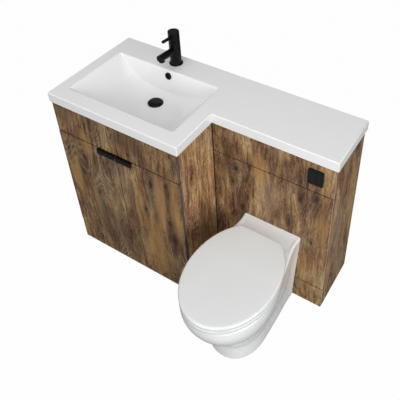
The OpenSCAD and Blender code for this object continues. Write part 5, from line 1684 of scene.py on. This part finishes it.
@dataclass
class Studio:
    """Floor, light and camera."""

    background: float = 1.0
    ambient: float = 0.31

    def build(self) -> None:
        """Builds the studio."""
        self.set_view()
        self.build_floor()
        self.build_world()
        self.lamp("key_front", (0.2, -3.8, 2.0), (-0.1, -0.3, 0.5), 3.4, 2.4, 63)
        self.lamp("fill_right", (3.0, -1.4, 1.4), (0.0, -0.3, 0.4), 2.4, 2.0, 60)
        self.lamp("soft_top", (0.0, -0.9, 3.2), (0.0, -0.35, 0.5), 2.6, 2.0, 30)
        self.build_camera()

    def set_view(self) -> None:
        """Keeps the colours as they are written."""
        bpy.context.scene.view_settings.view_transform = "Standard"

    def build_floor(self) -> None:
        """Builds the pale floor, which shows white but keeps the object's shadow."""
        bm = bmesh.new()
        bmesh.ops.create_grid(bm, x_segments=1, y_segments=1, size=7.0)
        bmesh.ops.translate(bm, vec=(0, 0, -0.0005), verts=bm.verts)
        floor = into_object(bm, "floor")
        material, g, shader = new_material("pale_floor")
        shader.inputs["Base Color"].default_value = (0.28, 0.28, 0.28, 1)
        shader.inputs["Roughness"].default_value = 0.9
        shader.inputs["Specular IOR Level"].default_value = 0.1
        glow = g.node("ShaderNodeEmission")
        glow.inputs["Strength"].default_value = 1.0
        mixed = g.shader_mix(g.times(g.seen(), 0.985), shader.outputs[0], glow.outputs[0])
        g.put(material.node_tree.nodes["Material Output"].inputs["Surface"], mixed)
        floor.data.materials.append(material)

    def build_world(self) -> None:
        """Builds a world that shows white and lights the object softly."""
        world = bpy.data.worlds.new("studio")
        bpy.context.scene.world = world
        world.use_nodes = True
        g = Graph(world.node_tree)
        soft = world.node_tree.nodes["Background"]
        soft.inputs["Color"].default_value = (1, 1, 1, 1)
        soft.inputs["Strength"].default_value = self.ambient
        shown = g.node("ShaderNodeBackground")
        shown.inputs["Strength"].default_value = self.background
        mixed = g.shader_mix(g.seen(), soft.outputs[0], shown.outputs[0])
        g.put(world.node_tree.nodes["World Output"].inputs["Surface"], mixed)

    def lamp(self, name: str, place: Point, target: Point, width: float, height: float,
             power: float) -> None:
        """Adds a soft rectangular lamp.

        Args:
            name: The lamp's name.
            place: Where it stands, in metres.
            target: The point that it faces, in metres.
            width: Width in metres.
            height: Height in metres.
            power: Power in watts.
        """
        light = bpy.data.lights.new(name, "AREA")
        light.shape = "RECTANGLE"
        light.size, light.size_y, light.energy = width, height, power
        obj = bpy.data.objects.new(name, light)
        bpy.context.scene.collection.objects.link(obj)
        obj.location = place
        aim = Vector(target) - Vector(place)
        obj.rotation_euler = aim.to_track_quat("-Z", "Y").to_euler()

    def build_camera(self) -> None:
        """Builds the camera that the photograph was solved for."""
        camera = bpy.data.cameras.new("camera")
        camera.lens, camera.sensor_width = 51.08, 36.0
        camera.shift_x, camera.shift_y = -0.1285, -0.2603
        camera.clip_start, camera.clip_end = 0.05, 50.0
        obj = bpy.data.objects.new("camera", camera)
        bpy.context.scene.collection.objects.link(obj)
        obj.location = (0.9382, -1.5343, 2.0975)
        obj.rotation_euler = (math.radians(52.8), 0.0, math.radians(30.84))
        bpy.context.scene.camera = obj


def main() -> None:
    """Builds every sub-assembly in order."""
    logging.basicConfig(level=logging.INFO, format="%(name)s: %(message)s")
    Groups.make()
    palette = Palette()
    CarriedOver(palette).dress()
    worktop = Worktop(palette)
    worktop.build()
    worktop.build_overflow()
    worktop.build_overflow_shade_cup()
    worktop.build_plug()
    tap = Tap(palette)
    tap.build_body()
    tap.build_handle()
    tap.build_lever()
    Cabinets(palette).build()
    pan = Pan(palette)
    pan.build()
    pan.build_screws()
    seat = Seat(palette)
    seat.build_ring()
    seat.build_lid()
    Studio().build()


if __name__ == "__main__":
    main()
